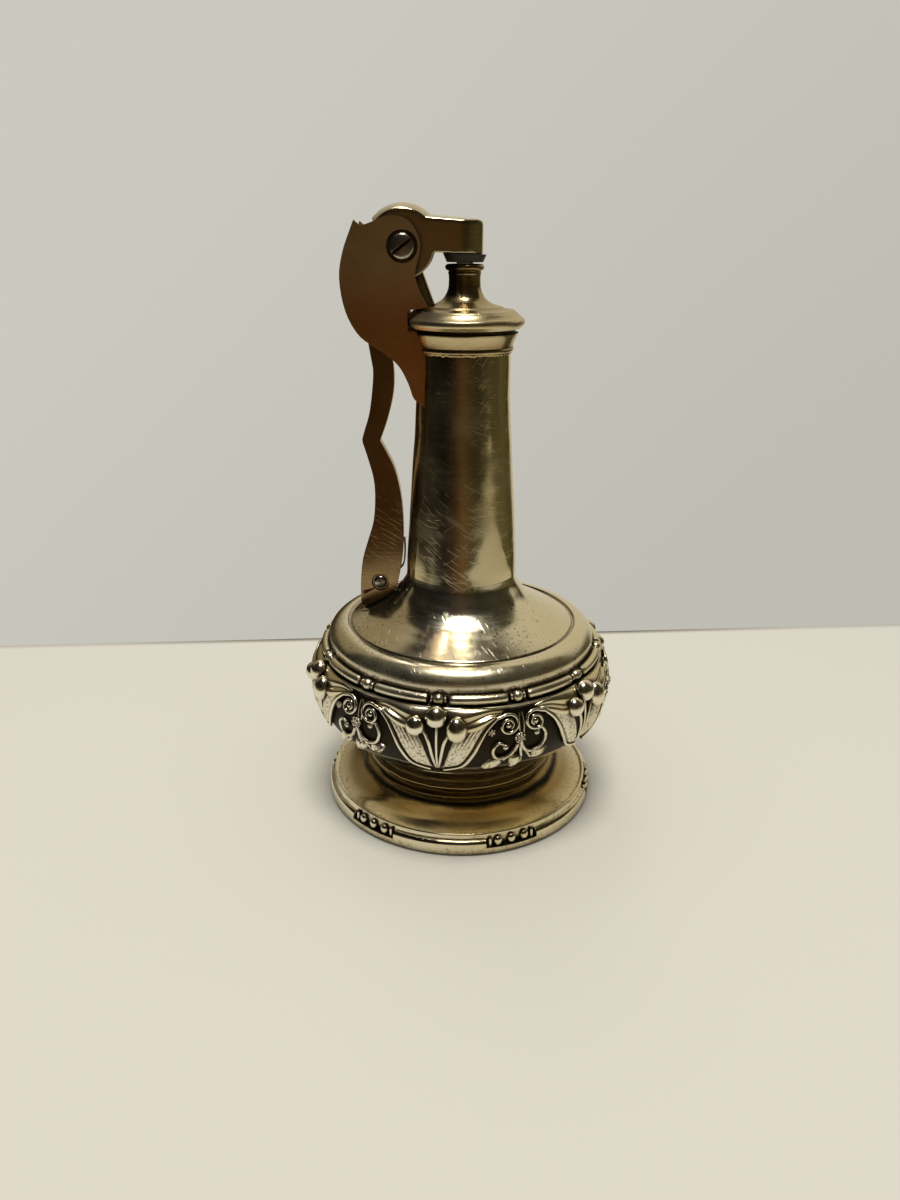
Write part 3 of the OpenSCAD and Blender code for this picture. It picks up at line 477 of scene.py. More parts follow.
# The cap's brown towards the nozzle is a painted dark reflection.
cap_silver = silver("cap_silver", tarnish=0.85, rough=0.08, patches=0.20, brown=(14.0, 2.0),
                    matt=(3.2, 6.0), specks=0.6, dark_side=(90.3, 91.2))
rod_silver = silver("rod_silver", tarnish=0.60, rough=0.22, patches=0.16, crease_mm=1.0)
leaf_silver = silver("leaf_silver", tarnish=0.25, rough=0.36, crease_mm=0.8, stipple=0.8)
chased_silver = silver("chased_silver", tarnish=0.30, rough=0.26, crease_mm=0.6, stipple=0.35)
print("silver finishes:", [m.name for m in bpy.data.materials if "silver" in m.name])

# %% [markdown]
# ## Satin plates and the small metals
# The cheeks and the lever were sawn from plate and rubbed along their length with fine emery,
# so their shine is drawn out into a grain. Brass, steel, cotton and leather are mostly hidden,
# and still get their own look, because the mechanism shows when the arm is up.

# %% Satin silver and others
emery_grain = (0.6, 3.0, 26.0)
crease_reach = 1.9 * MM
painted_warm_reflection = rgb(0.74, 0.30, 0.06)


def satin(name, colour, dark, rough, metallic=1.0, warm=None):
    """Metal rubbed along X. Over the given heights, in millimetres, a painted warm reflection turns it
    orange brown downwards.
    """
    material, tree, shader, place = blank_material(name)
    line = scratches(tree, place, emery_grain, 180.0, 4.0)
    cloud = noise_node(tree, place, 110.0, 3.0)
    shade = plus(tree, mapped(tree, line, 0.35, 0.65, 0.0, 0.12),
                 mapped(tree, cloud, 0.35, 0.65, 0.0, 0.5))
    tone = mixed(tree, shade, colour, dark)
    # Painted warm reflection: orange brown rising towards the plate's lower edge.
    if warm:
        lower = over_range(tree, parts_of(tree, place)["Z"], warm, 0.75)
        tone = mixed(tree, lower, tone, painted_warm_reflection)
    # Darker towards black where other parts stand within reach, as round the screw head.
    blackened = mapped(tree, openness(tree, crease_reach), 0.86, 0.50)
    marks = plus(tree, mapped(tree, stray_lines(tree, place), 0.64, 0.70, 0.0, -1.0),
                 mapped(tree, line, 0.0, 1.0, 0.0, 0.5))
    fill(tree, shader, {"Base Color": mixed(tree, blackened, tone, silver_black), "Metallic": metallic,
                        "Roughness": mapped(tree, line, 0.3, 0.7, rough - 0.03, rough + 0.05),
                        "Normal": bump_node(tree, marks, 0.2, 0.03 * MM)})
    return material


def cloth(name, colour, dark, scale):
    """Cotton or leather: a fine mottled grain."""
    material, tree, shader, place = blank_material(name)
    cells = add(tree, "ShaderNodeTexVoronoi", {"Vector": place, "Scale": scale})
    weave = cells.outputs["Distance"]
    colour = mixed(tree, mapped(tree, weave, 0.1, 0.7), colour, dark)
    fill(tree, shader, {"Base Color": colour, "Roughness": 0.95,
                        "Normal": bump_node(tree, weave, 0.5, 0.1 * MM)})
    return material


# The cheeks' orange brown low down is a painted warm reflection.
plate_satin = satin("plate_satin", rgb(0.98, 0.86, 0.58), rgb(0.60, 0.46, 0.26), rough=0.20,
                    warm=(97.0, 87.0))
lever_satin = satin("lever_satin", rgb(0.42, 0.30, 0.16), rgb(0.20, 0.13, 0.06), rough=0.12)
cup_soot = satin("cup_soot", rgb(0.035, 0.028, 0.02), rgb(0.01, 0.008, 0.006), rough=0.5, metallic=0.3)
screw_steel = satin("screw_steel", rgb(0.50, 0.47, 0.42), rgb(0.28, 0.25, 0.21), rough=0.22)
wheel_steel = satin("wheel_steel", rgb(0.36, 0.35, 0.33), rgb(0.16, 0.15, 0.14), rough=0.38)
old_brass = satin("old_brass", rgb(0.66, 0.48, 0.22), rgb(0.36, 0.24, 0.10), rough=0.28)
flint_grey = satin("flint_grey", rgb(0.16, 0.15, 0.14), rgb(0.07, 0.07, 0.07), rough=0.6)
wick_cotton = cloth("wick_cotton", rgb(0.72, 0.66, 0.52), rgb(0.30, 0.25, 0.17), 2600.0)
cotton_wool = cloth("cotton_wool", rgb(0.86, 0.85, 0.81), rgb(0.66, 0.64, 0.58), 700.0)
washer_leather = cloth("washer_leather", rgb(0.30, 0.17, 0.08), rgb(0.13, 0.07, 0.03), 1500.0)
print("other finishes:", [m.name for m in bpy.data.materials if "silver" not in m.name])

# %% [markdown]
# ## Drawing outlines
# A silversmith spins or turns the vase, so every round piece is one outline swung about the
# axis. Points are (radius, height) in millimetres. Arcs make the beads, and a curve that passes
# through its points makes the long soft profiles.

# %% Outline helpers
def arc(centre, radius, start, end, count):
    """Part of a circle between two angles in degrees, in count equal steps."""
    turns = [math.radians(start + (end - start) * k / count) for k in range(count + 1)]
    return [(centre[0] + radius * math.cos(a), centre[1] + radius * math.sin(a)) for a in turns]


def curve(points, count=6):
    """A smooth line through the points, with the end points kept."""
    points = np.array(points, float)
    padded = np.vstack([points[:1], points, points[-1:]])
    line = []
    for a, b, c, d in zip(padded, padded[1:], padded[2:], padded[3:]):
        for t in np.arange(count) / count:
            line.append(0.5 * (2 * b + (c - a) * t + (2 * a - 5 * b + 4 * c - d) * t * t
                               + (3 * b - a - 3 * c + d) * t * t * t))
    return [tuple(p) for p in line] + [tuple(points[-1])]


def sampled(line, count):
    """Points spaced evenly along a line."""
    line = np.array(line, float)
    run = np.concatenate([[0], np.cumsum(np.linalg.norm(np.diff(line, axis=0), axis=1))])
    at = np.linspace(0, run[-1], count)
    return np.stack([np.interp(at, run, line[:, k]) for k in range(line.shape[1])], 1)


# %% [markdown]
# ## From outlines to meshes
# A shape here is a pair: an array of points in millimetres and a list of faces. Turning makes
# the round pieces, and balls and wires make beads, berries and tendrils.

# %% Shapes
def net(rows, columns, close_rows=False, close_columns=False):
    """Faces of a grid of points, closed on itself where asked."""
    row = np.arange(rows if close_rows else rows - 1)
    column = np.arange(columns if close_columns else columns - 1)
    i, j = (n.ravel() for n in np.meshgrid(row, column, indexing="ij"))
    up, side = (i + 1) % rows, (j + 1) % columns
    corners = (i * columns + j, i * columns + side, up * columns + side, up * columns + j)
    return np.stack(corners, 1).tolist()


def spun(point, turn):
    """A point (radius, height) turned to an azimuth, counted from the front towards +X."""
    azimuth = math.radians(turn)
    return np.array([point[0] * math.sin(azimuth), -point[0] * math.cos(azimuth), point[1]])


def turned(outline, steps, change=None):
    """A closed outline swung about Z. change(points, azimuth) may reshape it on the way."""
    outline = np.array(outline, float)
    rings = []
    for k in range(steps):
        turn = 360 * k / steps
        ring = change(outline.copy(), turn) if change else outline
        rings.append(spun(ring.T, turn).T)
    return np.vstack(rings), net(steps, len(outline), True, True)


def frame_at(turn):
    """Directions at an azimuth as columns: sideways, inwards and up."""
    return Matrix.Rotation(math.radians(turn), 3, "Z")


def ball(centre, radii, axes, rings=14, steps=22):
    """A ball stretched along three directions."""
    polar = np.linspace(0, np.pi, rings + 1)[:, None]
    circle = np.linspace(0, 2 * np.pi, steps, endpoint=False)[None, :]
    unit = np.stack([np.sin(polar) * np.cos(circle), np.sin(polar) * np.sin(circle),
                     np.cos(polar) * np.ones_like(circle)], -1).reshape(-1, 3)
    points = (unit * np.array(radii)) @ np.array(axes).T + centre
    return points, net(rings + 1, steps, False, True)


def tube(path, radii, sides=12):
    """A round wire along a path, closed at both ends."""
    path = np.asarray(path, float)
    ahead = np.gradient(path, axis=0)
    ahead /= np.linalg.norm(ahead, axis=1)[:, None]
    normal = Vector(ahead[0]).orthogonal().normalized()
    turns = np.linspace(0, 2 * np.pi, sides, endpoint=False)[:, None]
    rings = []
    for place, direction, radius in zip(path, ahead, radii):
        direction = Vector(direction)
        normal = (normal - direction * normal.dot(direction)).normalized()
        binormal = direction.cross(normal)
        rings.append(place + radius * (np.cos(turns) * np.array(normal)
                                       + np.sin(turns) * np.array(binormal)))
    points = np.vstack(rings + [path[:1], path[-1:]])
    faces = net(len(path), sides, False, True)
    first = len(path) * sides
    last, base = first + 1, first - sides
    faces += [[first, (k + 1) % sides, k] for k in range(sides)]
    faces += [[last, base + k, base + (k + 1) % sides] for k in range(sides)]
    return points, faces


def joined(shapes):
    """Several shapes as one."""
    points, faces, start = [], [], 0
    for shape_points, shape_faces in shapes:
        points.append(shape_points)
        faces += [[start + n for n in face] for face in shape_faces]
        start += len(shape_points)
    return np.vstack(points), faces


# %% [markdown]
# ## From meshes to pieces
# A shape becomes one Blender object, which takes a finish, rides on a body of the construction
# and stands for the plain solid that it covers. A turned piece also gets small waves, since
# nothing made by hand is quite round.

# %% Piece helpers
same_place = 0.0005 * MM


def sharp_edges(work, crisp):
    """Edges where two faces meet at more than crisp degrees."""
    return [edge for edge in work.edges if edge.calc_face_angle(0.0) > math.radians(crisp)]


def finished(node, work, finish, slot, body="vase", crisp=38.0, covers=True):
    """Makes the dressed object of a node, which covers the plain solid or lies beside it.

    Edges sharper than crisp degrees stay sharp. A face with many corners is shaded flat.
    """
    for face in work.faces:
        face.smooth = len(face.verts) < 6
    for edge in sharp_edges(work, crisp):
        edge.smooth = False
    mesh = bpy.data.meshes.new(node + "_dressed")
    work.to_mesh(mesh)
    work.free()
    made = placed(mesh.name, mesh)
    mesh.materials.append(finish)
    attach(made, body)
    if covers:
        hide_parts(node)
    print(f"{made.name}: {len(mesh.polygons)} faces")


def piece(node, shape, finish, slot="silver", **settings):
    """Makes the dressed object of a shape."""
    points, faces = shape
    raw = bpy.data.meshes.new("raw")
    raw.from_pydata((points * MM).tolist(), [], faces)
    work = bmesh.new()
    work.from_mesh(raw)
    bpy.data.meshes.remove(raw)
    bmesh.ops.remove_doubles(work, verts=work.verts, dist=same_place)
    bmesh.ops.recalc_face_normals(work, faces=work.faces)
    finished(node, work, finish, slot, **settings)


def uneven(points, depth, size, seed):
    """Small hand-made waves: each point moves along its radius by smooth noise."""
    out = points.copy()
    shift = Vector((seed, seed * 1.7, seed * 0.6))
    for k, (x, y, z) in enumerate(points):
        r = math.hypot(x, y)
        if r > 0.5:
            wave = noise.noise(Vector((x, y, z)) / size + shift) * depth
            out[k, 0] += x / r * wave
            out[k, 1] += y / r * wave
    return out


def turned_piece(node, outline, steps, waves, finish, slot="silver", change=None):
    """Turns an outline to dress a node. Each row of waves is a depth, a size and a seed."""
    points, faces = turned(outline, steps, change)
    for wave in waves:
        points = uneven(points, *wave)
    piece(node, (points, faces), finish, slot)


# %% [markdown]
# ## Foot
# The foot is spun from sheet: a rolled rim, a groove with a bead, and a shallow dish up to the
# neck. Six panels are let into the rim. The outline is swung round the axis, and where a panel
# comes it steps back, so the pockets are real and not painted.

# %% Foot, panels and neck ring
foot_r = 25.5
foot_top = 7.2
neck_r = 17.0
neck_top = 9.2
panel_r = foot_r - 1.05
panel_floor = 1.4
panel_ceiling = 3.9
panel_half = 10.8
panel_slope = 0.35
repeats = 6
pitch = 360 / repeats
berry_turn = -8.0
scroll_turn = berry_turn + pitch / 2

foot_rim = (arc((foot_r - 0.5, 0.5), 0.5, -90, 0, 6) + [(foot_r - 0.02, 1.0)]
            + [(foot_r - 0.05, panel_floor - 0.02), (foot_r - 0.05, panel_floor + 0.02)]
            + arc((foot_r - 1.0, 1.95), 0.9, 8, 80, 8) + [(foot_r - 1.02, 3.22)]
            + arc((foot_r - 1.3, 3.55), 0.28, 0, 150, 8))
foot_dish = curve([(23.7, 3.52), (21.6, 4.05), (19.8, 4.85), (18.5, 5.65)], 7)
foot_step = curve([(18.5, 5.65), (18.2, 6.15), (17.45, 6.6), (17.02, foot_top)], 4)[1:]
foot_inside = [(15.7, foot_top), (15.7, 5.7), (17.6, 4.8), (20.2, 3.2), (23.2, 2.35), (23.2, 0.4)]


def panel_share(azimuth):
    """1 inside a panel, 0 outside, with a short slope between."""
    off = abs((azimuth - scroll_turn + pitch / 2) % pitch - pitch / 2)
    return min(max((panel_half - off) / panel_slope + 0.5, 0.0), 1.0)


def with_pocket(outline, azimuth):
    """Sets the rim back where there is a panel."""
    r, z = outline.T
    inside = (z > panel_floor) & (z < panel_ceiling) & (r > panel_r)
    outline[inside, 0] += (panel_r - outline[inside, 0]) * panel_share(azimuth)
    return outline


def around(start, count=repeats):
    """The azimuths of things that repeat round the vase, in degrees."""
    return [start + k * 360 / count for k in range(count)]


def panel_bead(turn):
    """A bead pressed out of the pocket's wall, taller than it is wide."""
    centre = spun((panel_r + 0.25, panel_floor + 0.82), turn)
    return ball(centre, (0.78, 0.62, 0.92), frame_at(turn))


def panel_bar(turn):
    """An upright bar that closes a group of beads."""
    foot = spun((panel_r + 0.28, panel_floor), turn)
    head = spun((panel_r + 0.28, panel_floor + 1.5), turn)
    return tube([foot, (foot + head) / 2, head], [0.34, 0.36, 0.30])


turned_piece("foot", [(24.1, 0)] + foot_rim + foot_dish + foot_step + foot_inside, 720,
             [(0.06, 9.0, 3.1)], foot_silver, change=with_pocket)

beads = [panel_bead(turn + off) for turn in around(scroll_turn) for off in (-5.8, 0, 5.8)]
bars = [panel_bar(turn + off) for turn in around(scroll_turn) for off in (-9.2, 9.2)]
piece("panel_beads", joined(beads + bars), bead_silver)

ring_outline = ([(16.1, foot_top), (neck_r + 0.05, foot_top)]
                + arc((neck_r + 0.25, 8.55), 0.45, -70, 70, 10)
                + [(neck_r + 0.2, neck_top), (16.1, neck_top)])
turned_piece("neck_ring", ring_outline, 240, [(0.12, 2.2, 8.4)], foot_silver)

# %% [markdown]
# ## Bowl
# The belly is spun too. Two arcs meet at its widest place, so the lower one is tighter. The
# frieze was cast or chased apart and soldered on, which is why a dark ground shows between the
# leaves. A thin wire hides the upper seam.

# %% Bowl
belly_r = 27.15
belly_z = 23.4
belly_low = 10.0
belly_top = 13.0
lip_r = 21.4
lip_z = 14.2
seam_r = 25.0
seam_z = 30.3


def belly_at(z):
    """Radius of the belly at a height, and its normal as (outward, upward)."""
    r = np.where(z < belly_z, belly_low, belly_top)
    rise = np.clip((z - belly_z) / r, -0.999, 0.999)
    level = np.sqrt(1 - rise * rise)
    return belly_r - r + r * level, level, rise


cavetto = curve([(17.2, neck_top), (18.1, 10.8), (19.7, 13.1), (21.4, 14.1)], 6)
lip = [(lip_r + 0.12, lip_z + 0.15), (lip_r + 0.1, lip_z + 0.35), (lip_r - 0.05, lip_z + 0.5)]
belly = [(float(belly_at(z)[0]), float(z)) for z in np.linspace(14.75, 29.1, 48)]
bowl_top = ([(25.2, 29.2)] + arc((seam_r, seam_z), 0.99, 268, 182, 8) + [(23.1, seam_z), (23.1, 29.2)])
bowl_inside = [(24.6, 28.2), (26.2, 24.0), (25.2, 19.5), (21.6, 15.4), (17.4, 14.9), (20.3, 14.6),
               (19.0, 13.4), (17.3, 11.2), (16.3, 9.3)]
turned_piece("bowl", cavetto + lip + belly + bowl_top + bowl_inside, 360, [(0.10, 6.0, 1.3)],
             bowl_silver, "dark_silver")

# %% [markdown]
# ## Frieze
# Six times round the belly: a pair of leaves that fold over at the top, a cluster of three
# berries where they meet, and a scroll motif between one pair and the next. All of it is drawn
# flat, as millimetres sideways and millimetres of height, and then laid on the belly's curve.

# %% Helpers for the frieze
def on_belly(side, z, out, turn):
    """A point given as millimetres sideways, height and height above the belly's skin."""
    radius, outward, upward = belly_at(z)
    azimuth = math.radians(turn) + np.arcsin(side / radius)
    r = radius + out * outward
    return np.stack([r * np.sin(azimuth), -r * np.cos(azimuth), z + out * upward], -1)


def between(start_line, end_line, along, across):
    """A grid from one line to another. u runs along them, and v across from line to line."""
    start_line, end_line = sampled(start_line, along), sampled(end_line, along)
    u = np.linspace(0, 1, along)[:, None]
    v = np.linspace(0, 1, across)[None, :]
    flat = start_line[:, None, :] * (1 - v[..., None]) + end_line[:, None, :] * v[..., None]
    return flat, u, v


def laid(flat, out, turn, side=1):
    """A grid laid on the belly as a sheet. Side -1 mirrors it, with its faces reversed."""
    points = on_belly(side * flat[..., 0], flat[..., 1], out, turn)
    faces = net(*flat.shape[:2])
    return points.reshape(-1, 3), faces if side > 0 else [face[::-1] for face in faces]


def belly_wire(line, radius, turn, out, taper, side=1):
    """A wire laid along the belly. It gets thinner towards its far end."""
    line = np.array(line, float)
    radii = np.linspace(radius, radius * taper, len(line))
    return tube(on_belly(side * line[:, 0], line[:, 1], out, turn), radii)


def belly_ball(side, z, radii, turn, out):
    """A ball on the belly with its own width, height and thickness."""
    centre = on_belly(side, z, out, turn)
    radius, outward, upward = belly_at(z)
    azimuth = math.radians(turn) + math.asin(side / radius)
    normal = Vector((math.sin(azimuth) * outward, -math.cos(azimuth) * outward, float(upward)))
    across = Vector((math.cos(azimuth), math.sin(azimuth), 0))
    return ball(centre, radii, Matrix((across, across.cross(normal), normal)).transposed())


# %% [markdown]
# Each leaf is a surface between its inner and its outer margin, raised in the middle and ruled
# with fine veins. Its top is turned over outwards as a soft lobe. Its margin is a wire that
# runs on and rolls up into a volute.

# %% Leaves
relief = 0.75
vein_count = 7.5
vein_depth = 0.048
nick_depth = 0.02
leaf_outer = curve([(1.1, 18.3), (4.2, 19.4), (6.0, 21.9), (7.0, 24.1), (8.0, 26.0), (9.4, 27.5)], 8)
leaf_inner = curve([(0.9, 18.6), (1.7, 21.0), (2.5, 23.3), (3.7, 25.6), (5.4, 27.4), (8.6, 28.2)], 8)
lobe_low = curve([(3.4, 25.6), (5.2, 25.2), (7.0, 25.7), (8.9, 27.1)], 8)
lobe_high = curve([(0.6, 29.1), (4.6, 29.3), (8.4, 29.2), (10.7, 28.6)], 8)
volute = (11.3, 26.3)


def leaf_blade(turn, side):
    """A leaf that swells in the middle, with veins along it and shallow nicks across them."""
    flat, u, v = between(leaf_inner, leaf_outer, 64, 40)
    swell = np.sin(np.pi * v) ** 0.55
    body = (0.42 + 0.30 * v) * swell * np.minimum(1, 0.35 + 3.2 * u)
    veins = vein_depth * np.cos(2 * np.pi * vein_count * v) * swell * np.minimum(1, 5 * u)
    nicks = nick_depth * np.cos(2 * np.pi * (26 * u + 3 * v)) * swell
    out = relief * 0.25 * swell + body + veins + nicks - 0.12 * (1 - swell)
    return laid(flat, out, turn, side)


def leaf_lobe(turn, side):
    """The leaf's top, turned over outwards: a soft sheet with a crease."""
    flat, u, v = between(lobe_low, lobe_high, 56, 34)
    edge = np.sin(np.pi * v) ** 0.45 * np.sin(np.pi * np.clip(u, 0.02, 0.98)) ** 0.3
    sheet = 1.0 + 0.45 * (1 - v)
    crease = -0.55 * np.exp(-((v - 0.30 - 0.45 * u) / 0.15) ** 2)
    return laid(flat, -0.1 + (sheet + crease) * edge, turn, side)


def spiral(centre, r0, r1, start, turns):
    """A line that winds from radius r0 to r1, from start degrees over some turns."""
    s = np.linspace(0, 1, 44)
    angle = np.radians(start + turns * 360 * s)
    r = r0 + (r1 - r0) * s ** 0.8
    return np.stack([centre[0] + r * np.cos(angle), centre[1] + r * np.sin(angle)], 1)


margin_line = sampled(np.vstack([leaf_outer, spiral(volute, 1.8, 0.6, 126, -1.5)]), 100)

blades, lobes, wires = [], [], []
for turn in around(berry_turn):
    for side in (-1, 1):
        blades.append(leaf_blade(turn, side))
        lobes.append(leaf_lobe(turn, side))
        wires.append(belly_wire(margin_line, 0.33, turn, 0.55, 0.75, side))
        wires.append(belly_ball(side * volute[0], volute[1], (0.55, 0.55, 0.5), turn, 0.35))
piece("frieze_leaves", joined(blades), leaf_silver, crisp=70)
piece("frieze_lobes", joined(lobes), lobe_silver, crisp=70, covers=False)
piece("frieze_volutes", joined(wires), berry_silver, covers=False)

# %% [markdown]
# Berries are smooth balls that a punch left standing, so they shine most. Two flat stems and
# a spine between them join the berries to the foot of the leaves.

# %% Berries
berry_cluster = ((-0.1, 27.9, (1.88, 1.88, 1.6), 0.7), (-3.4, 26.3, (1.65, 1.7, 1.45), 0.75),
                 (3.25, 26.1, (1.75, 2.2, 1.5), 0.75))
stem = curve([(2.3, 25.9), (1.3, 23.6), (0.75, 21.0), (0.25, 18.2)])
spine = curve([(0, 27.0), (0, 24.0), (0, 21.0), (0, 18.3)])

berries = []
for turn in around(berry_turn):
    berries += [belly_ball(side, z, radii, turn, out) for side, z, radii, out in berry_cluster]
    berries += [belly_wire(stem, 0.34, turn, 0.12, 0.8, side) for side in (-1, 1)]
    berries.append(belly_wire(spine, 0.24, turn, out=0.2, taper=0.9))
piece("frieze_berries", joined(berries), berry_silver)

# %% [markdown]
# The scroll motif has two seed heads, three petals, and two tendrils that end in small knobs.
# The seeds are small balls in two rings on a larger one, as a punch leaves them.

# %% Scrolls
tendrils = {
    (2.55, 24.35): [(-0.3, 23.2), (0.4, 21.7), (1.9, 21.0), (3.6, 21.7), (4.3, 23.5), (3.5, 25.0),
                    (2.6, 24.7)],
    (-2.9, 22.6): [(-0.8, 22.9), (-1.7, 21.3), (-3.2, 20.4), (-4.6, 20.9), (-4.9, 22.4),
                   (-4.0, 23.4), (-3.1, 23.0)],
}
petals = (((-3.0, 19.9), (-6.3, 18.4), 1.25), ((0.1, 20.2), (-1.7, 18.1), 1.25),
          ((1.9, 19.5), (5.0, 21.0), 1.2))
arch = curve([(0.3, 24.6), (0.45, 26.4), (0.2, 28.0)], 5)


def seed_head(turn, side, z, size, bumps=7):
    """A small round head covered with seeds."""
    seeds = [belly_ball(side, z, (size, size, size * 0.8), turn, 0.2)]
    for ring, (reach, count) in enumerate(((0.45, bumps - 2), (0.85, bumps))):
        for k in range(count):
            angle = 2 * math.pi * (k + 0.5 * ring) / count
            place = (side + size * reach * math.cos(angle), z + size * reach * math.sin(angle))
            lift = 0.2 + size * 0.75 * math.sqrt(1 - reach * reach * 0.9)
            seeds.append(belly_ball(*place, (size * 0.3,) * 3, turn, lift))
    return seeds


def petal(turn, root, tip, width):
    """A flat drop with a raised middle line."""
    root, tip = np.array(root), np.array(tip)
    along = tip - root
    across = np.array([-along[1], along[0]]) / np.linalg.norm(along)
    u = np.linspace(0, 1, 20)[:, None]
    v = np.linspace(-1, 1, 13)[None, :]
    half = width * np.sin(np.pi * u ** 0.75) ** 0.8
    flat = root + along * u[..., None] + across * (v * half)[..., None]
    dome = 0.85 * (1 - v * v) ** 0.5 * np.sin(np.pi * u) ** 0.4
    return laid(flat, dome + 0.15 * np.exp(-(v / 0.15) ** 2) - 0.04, turn)


scrolls, heads = [], []
for turn in around(scroll_turn):
    heads += seed_head(turn, -0.5, 24.0, 0.85) + seed_head(turn, -5.2, 25.4, 0.55, 6)
    for root, tip, width in petals:
        scrolls.append(petal(turn, root, tip, width))
        stalk = curve([(-0.4, 23.4), (root[0] * 0.45 - 0.2, 21.4), root])
        scrolls.append(belly_wire(stalk, 0.26, turn, out=0.3, taper=0.9))
    for knob, line in tendrils.items():
        scrolls.append(belly_wire(curve(line, 5), 0.31, turn, out=0.4, taper=0.75))
        scrolls.append(belly_ball(*knob, (0.5, 0.5, 0.45), turn, 0.4))
    scrolls += [belly_wire(arch, 0.16, turn, 0.1, 0.7, side) for side in (-1, 1)]
piece("frieze_scrolls", joined(scrolls), chased_silver)
piece("frieze_seed_heads", joined(heads), chased_silver, covers=False)

# %% [markdown]
# ## Rods and beads
# A moulding of short rods with a bead between each two covers the seam of bowl and shoulder.
# The rods were drawn as one ring and then notched, so their ends are round and each swells a
# little in the middle.

# %% Moulding
rod_r = 0.81
bead_radii = (0.97, 0.97, 0.9312)
rod_start = 3.7
rod_count = 2 * repeats
disc_turn = 2.55
disc_radii = (0.3, 0.62, 0.62)


def rod(turn):
    """A rod from one bead to the next, along the seam."""
    span = np.linspace(rod_start, 360 / rod_count - rod_start, 34)
    path = np.array([spun((seam_r, seam_z), turn + off) for off in span])
    middle = 1 - np.abs(np.linspace(-1, 1, len(span)))
    ends = np.sqrt(1 - np.clip(1 - middle * 9, 0, 1) ** 2)
    swell = 1 + 0.06 * np.sin(np.pi * middle / 2)
    return tube(path, np.maximum(rod_r * ends * swell, 0.02), 20)


def seam_ball(turn, radii):
    """A ball on the seam."""
    return ball(spun((seam_r, seam_z), turn), radii, frame_at(turn))


rods = []
for turn in around(berry_turn, rod_count):
    rods += [rod(turn), seam_ball(turn, bead_radii)]
    rods += [seam_ball(turn + off, disc_radii) for off in (-disc_turn, disc_turn)]
ledge = [(23.8, seam_z), (24.6, seam_z), (24.6, seam_z + 0.5), (23.8, seam_z + 0.5)]
seam_wire = arc((25.78, 29.05), 0.24, 0, 360, 11)[:-1]
rods += [turned(ledge, 180), turned(seam_wire, 300)]
piece("rod_and_bead_moulding", joined(rods), rod_silver)

# %% [markdown]
# ## Shoulder and column
# Shoulder and column are one sweep on the real lighter: a quarter-round, a groove, a dome that
# hollows out, and a tube that tapers to the collar. Decades of use left soft dents, and they
# show because the metal is a mirror.

# %% Shoulder, column and collar
groove_r = 20.3
dome_edge = (groove_r - 0.12, 34.78)
column_base = (9.85, 44.0)
column_top = (7.75, 85.4)
collar_z = 82.4

ovolo = arc((groove_r + 0.75, 31.4), 3.4, 20, 88, 16)
groove = curve([(groove_r + 0.62, 34.78), (groove_r + 0.35, 34.5), (groove_r + 0.1, 34.46),
                dome_edge], 4)
dome = curve([dome_edge, (18.0, 35.9), (16.0, 36.9), (14.0, 38.0), (12.0, 39.6), (10.9, 41.2),
              (10.1, 42.6), column_base], 8)
shoulder_foot = [(23.75, seam_z), (23.75, 30.82), (24.25, 30.9), (24.27, 31.8)]
shoulder_inside = [(8.95, 44.0), (9.9, 40.6), (12.0, 38.4), (20.0, 33.6), (23.0, 31.3)]
turned_piece("shoulder", shoulder_foot + ovolo + groove + dome + shoulder_inside, 300,
             [(0.13, 9.0, 4.6)], dome_silver)

column_line = sampled(curve([column_base, (9.57, 50.0), (8.55, 65.0), (8.01, 73.5),
                             (column_top[0], collar_z), column_top], 5), 80)
column_inside = [(6.85, 85.4), (6.85, 82.0), (8.9, 44.0)]
turned_piece("column", column_line.tolist() + column_inside, 240,
             [(0.11, 7.0, 2.2), (0.03, 2.6, 9.1)], vase_silver)


def solder_fillet(outline, azimuth):
    """Solder ran out unevenly under the collar: the first points of the outline wander."""
    wave = noise.noise(Vector((azimuth / 14, 3.3, 0)))
    blob = noise.noise(Vector((azimuth / 4.5, 8.1, 0)))
    outline[1:4, 1] -= 0.22 + 0.22 * wave + 0.14 * blob
    outline[1:4, 0] += 0.05 + 0.05 * blob
    return outline


collar_outline = ([(7.6, 82.3), (7.72, 82.36), (7.86, 82.38), (7.95, 82.5)]
                  + arc((7.9, 82.85), 0.4, -70, 70, 10)
                  + curve([(8.1, 83.3), (8.3, 83.9), (8.8, 85.05), (8.9, 85.4)], 6)
                  + [(8.75, 85.45), (7.6, 85.4)])
turned_piece("collar", collar_outline, 300, [(0.06, 2.4, 6.6)], collar_silver, change=solder_fillet)

# %% [markdown]
# ## Burner cap and wick
# The cap lifts off to reach the cotton. It has a rounded edge, a small step and a waisted
# nozzle with a rolled rim. The wick is a loose twist of cotton, burnt at its end.

# %% Burner cap and wick
cap_edge = (arc((9.2, 87.1), 0.75, -50, 70, 14)
            + curve([(9.42, 87.82), (9.05, 88.12), (8.72, 88.45), (8.42, 88.68)], 4)
            + [(8.33, 88.8), (8.2, 88.86), (8.06, 88.78)]
            + curve([(7.9, 88.8), (7.2, 88.96), (6.6, 89.12)], 4)
            + [(6.5, 89.24), (6.35, 89.3), (6.22, 89.26)])
nozzle = (curve([(6.1, 89.4), (4.6, 89.85), (3.4, 90.7), (2.72, 92.0), (2.58, 93.3), (2.6, 94.3)], 8)
          + [(2.68, 94.42), (2.68, 94.6), (2.6, 94.72), (2.62, 94.85)]
          + arc((2.65, 95.38), 0.5, -75, 75, 12) + [(2.3, 95.9)])
cap_inside = [(1.6, 95.85), (1.55, 95.7), (1.55, 87.3), (5.9, 87.3), (5.9, 82.8), (6.8, 82.8),
              (6.8, 85.42), (8.4, 85.42), (8.4, 86.1), (9.25, 86.12)]
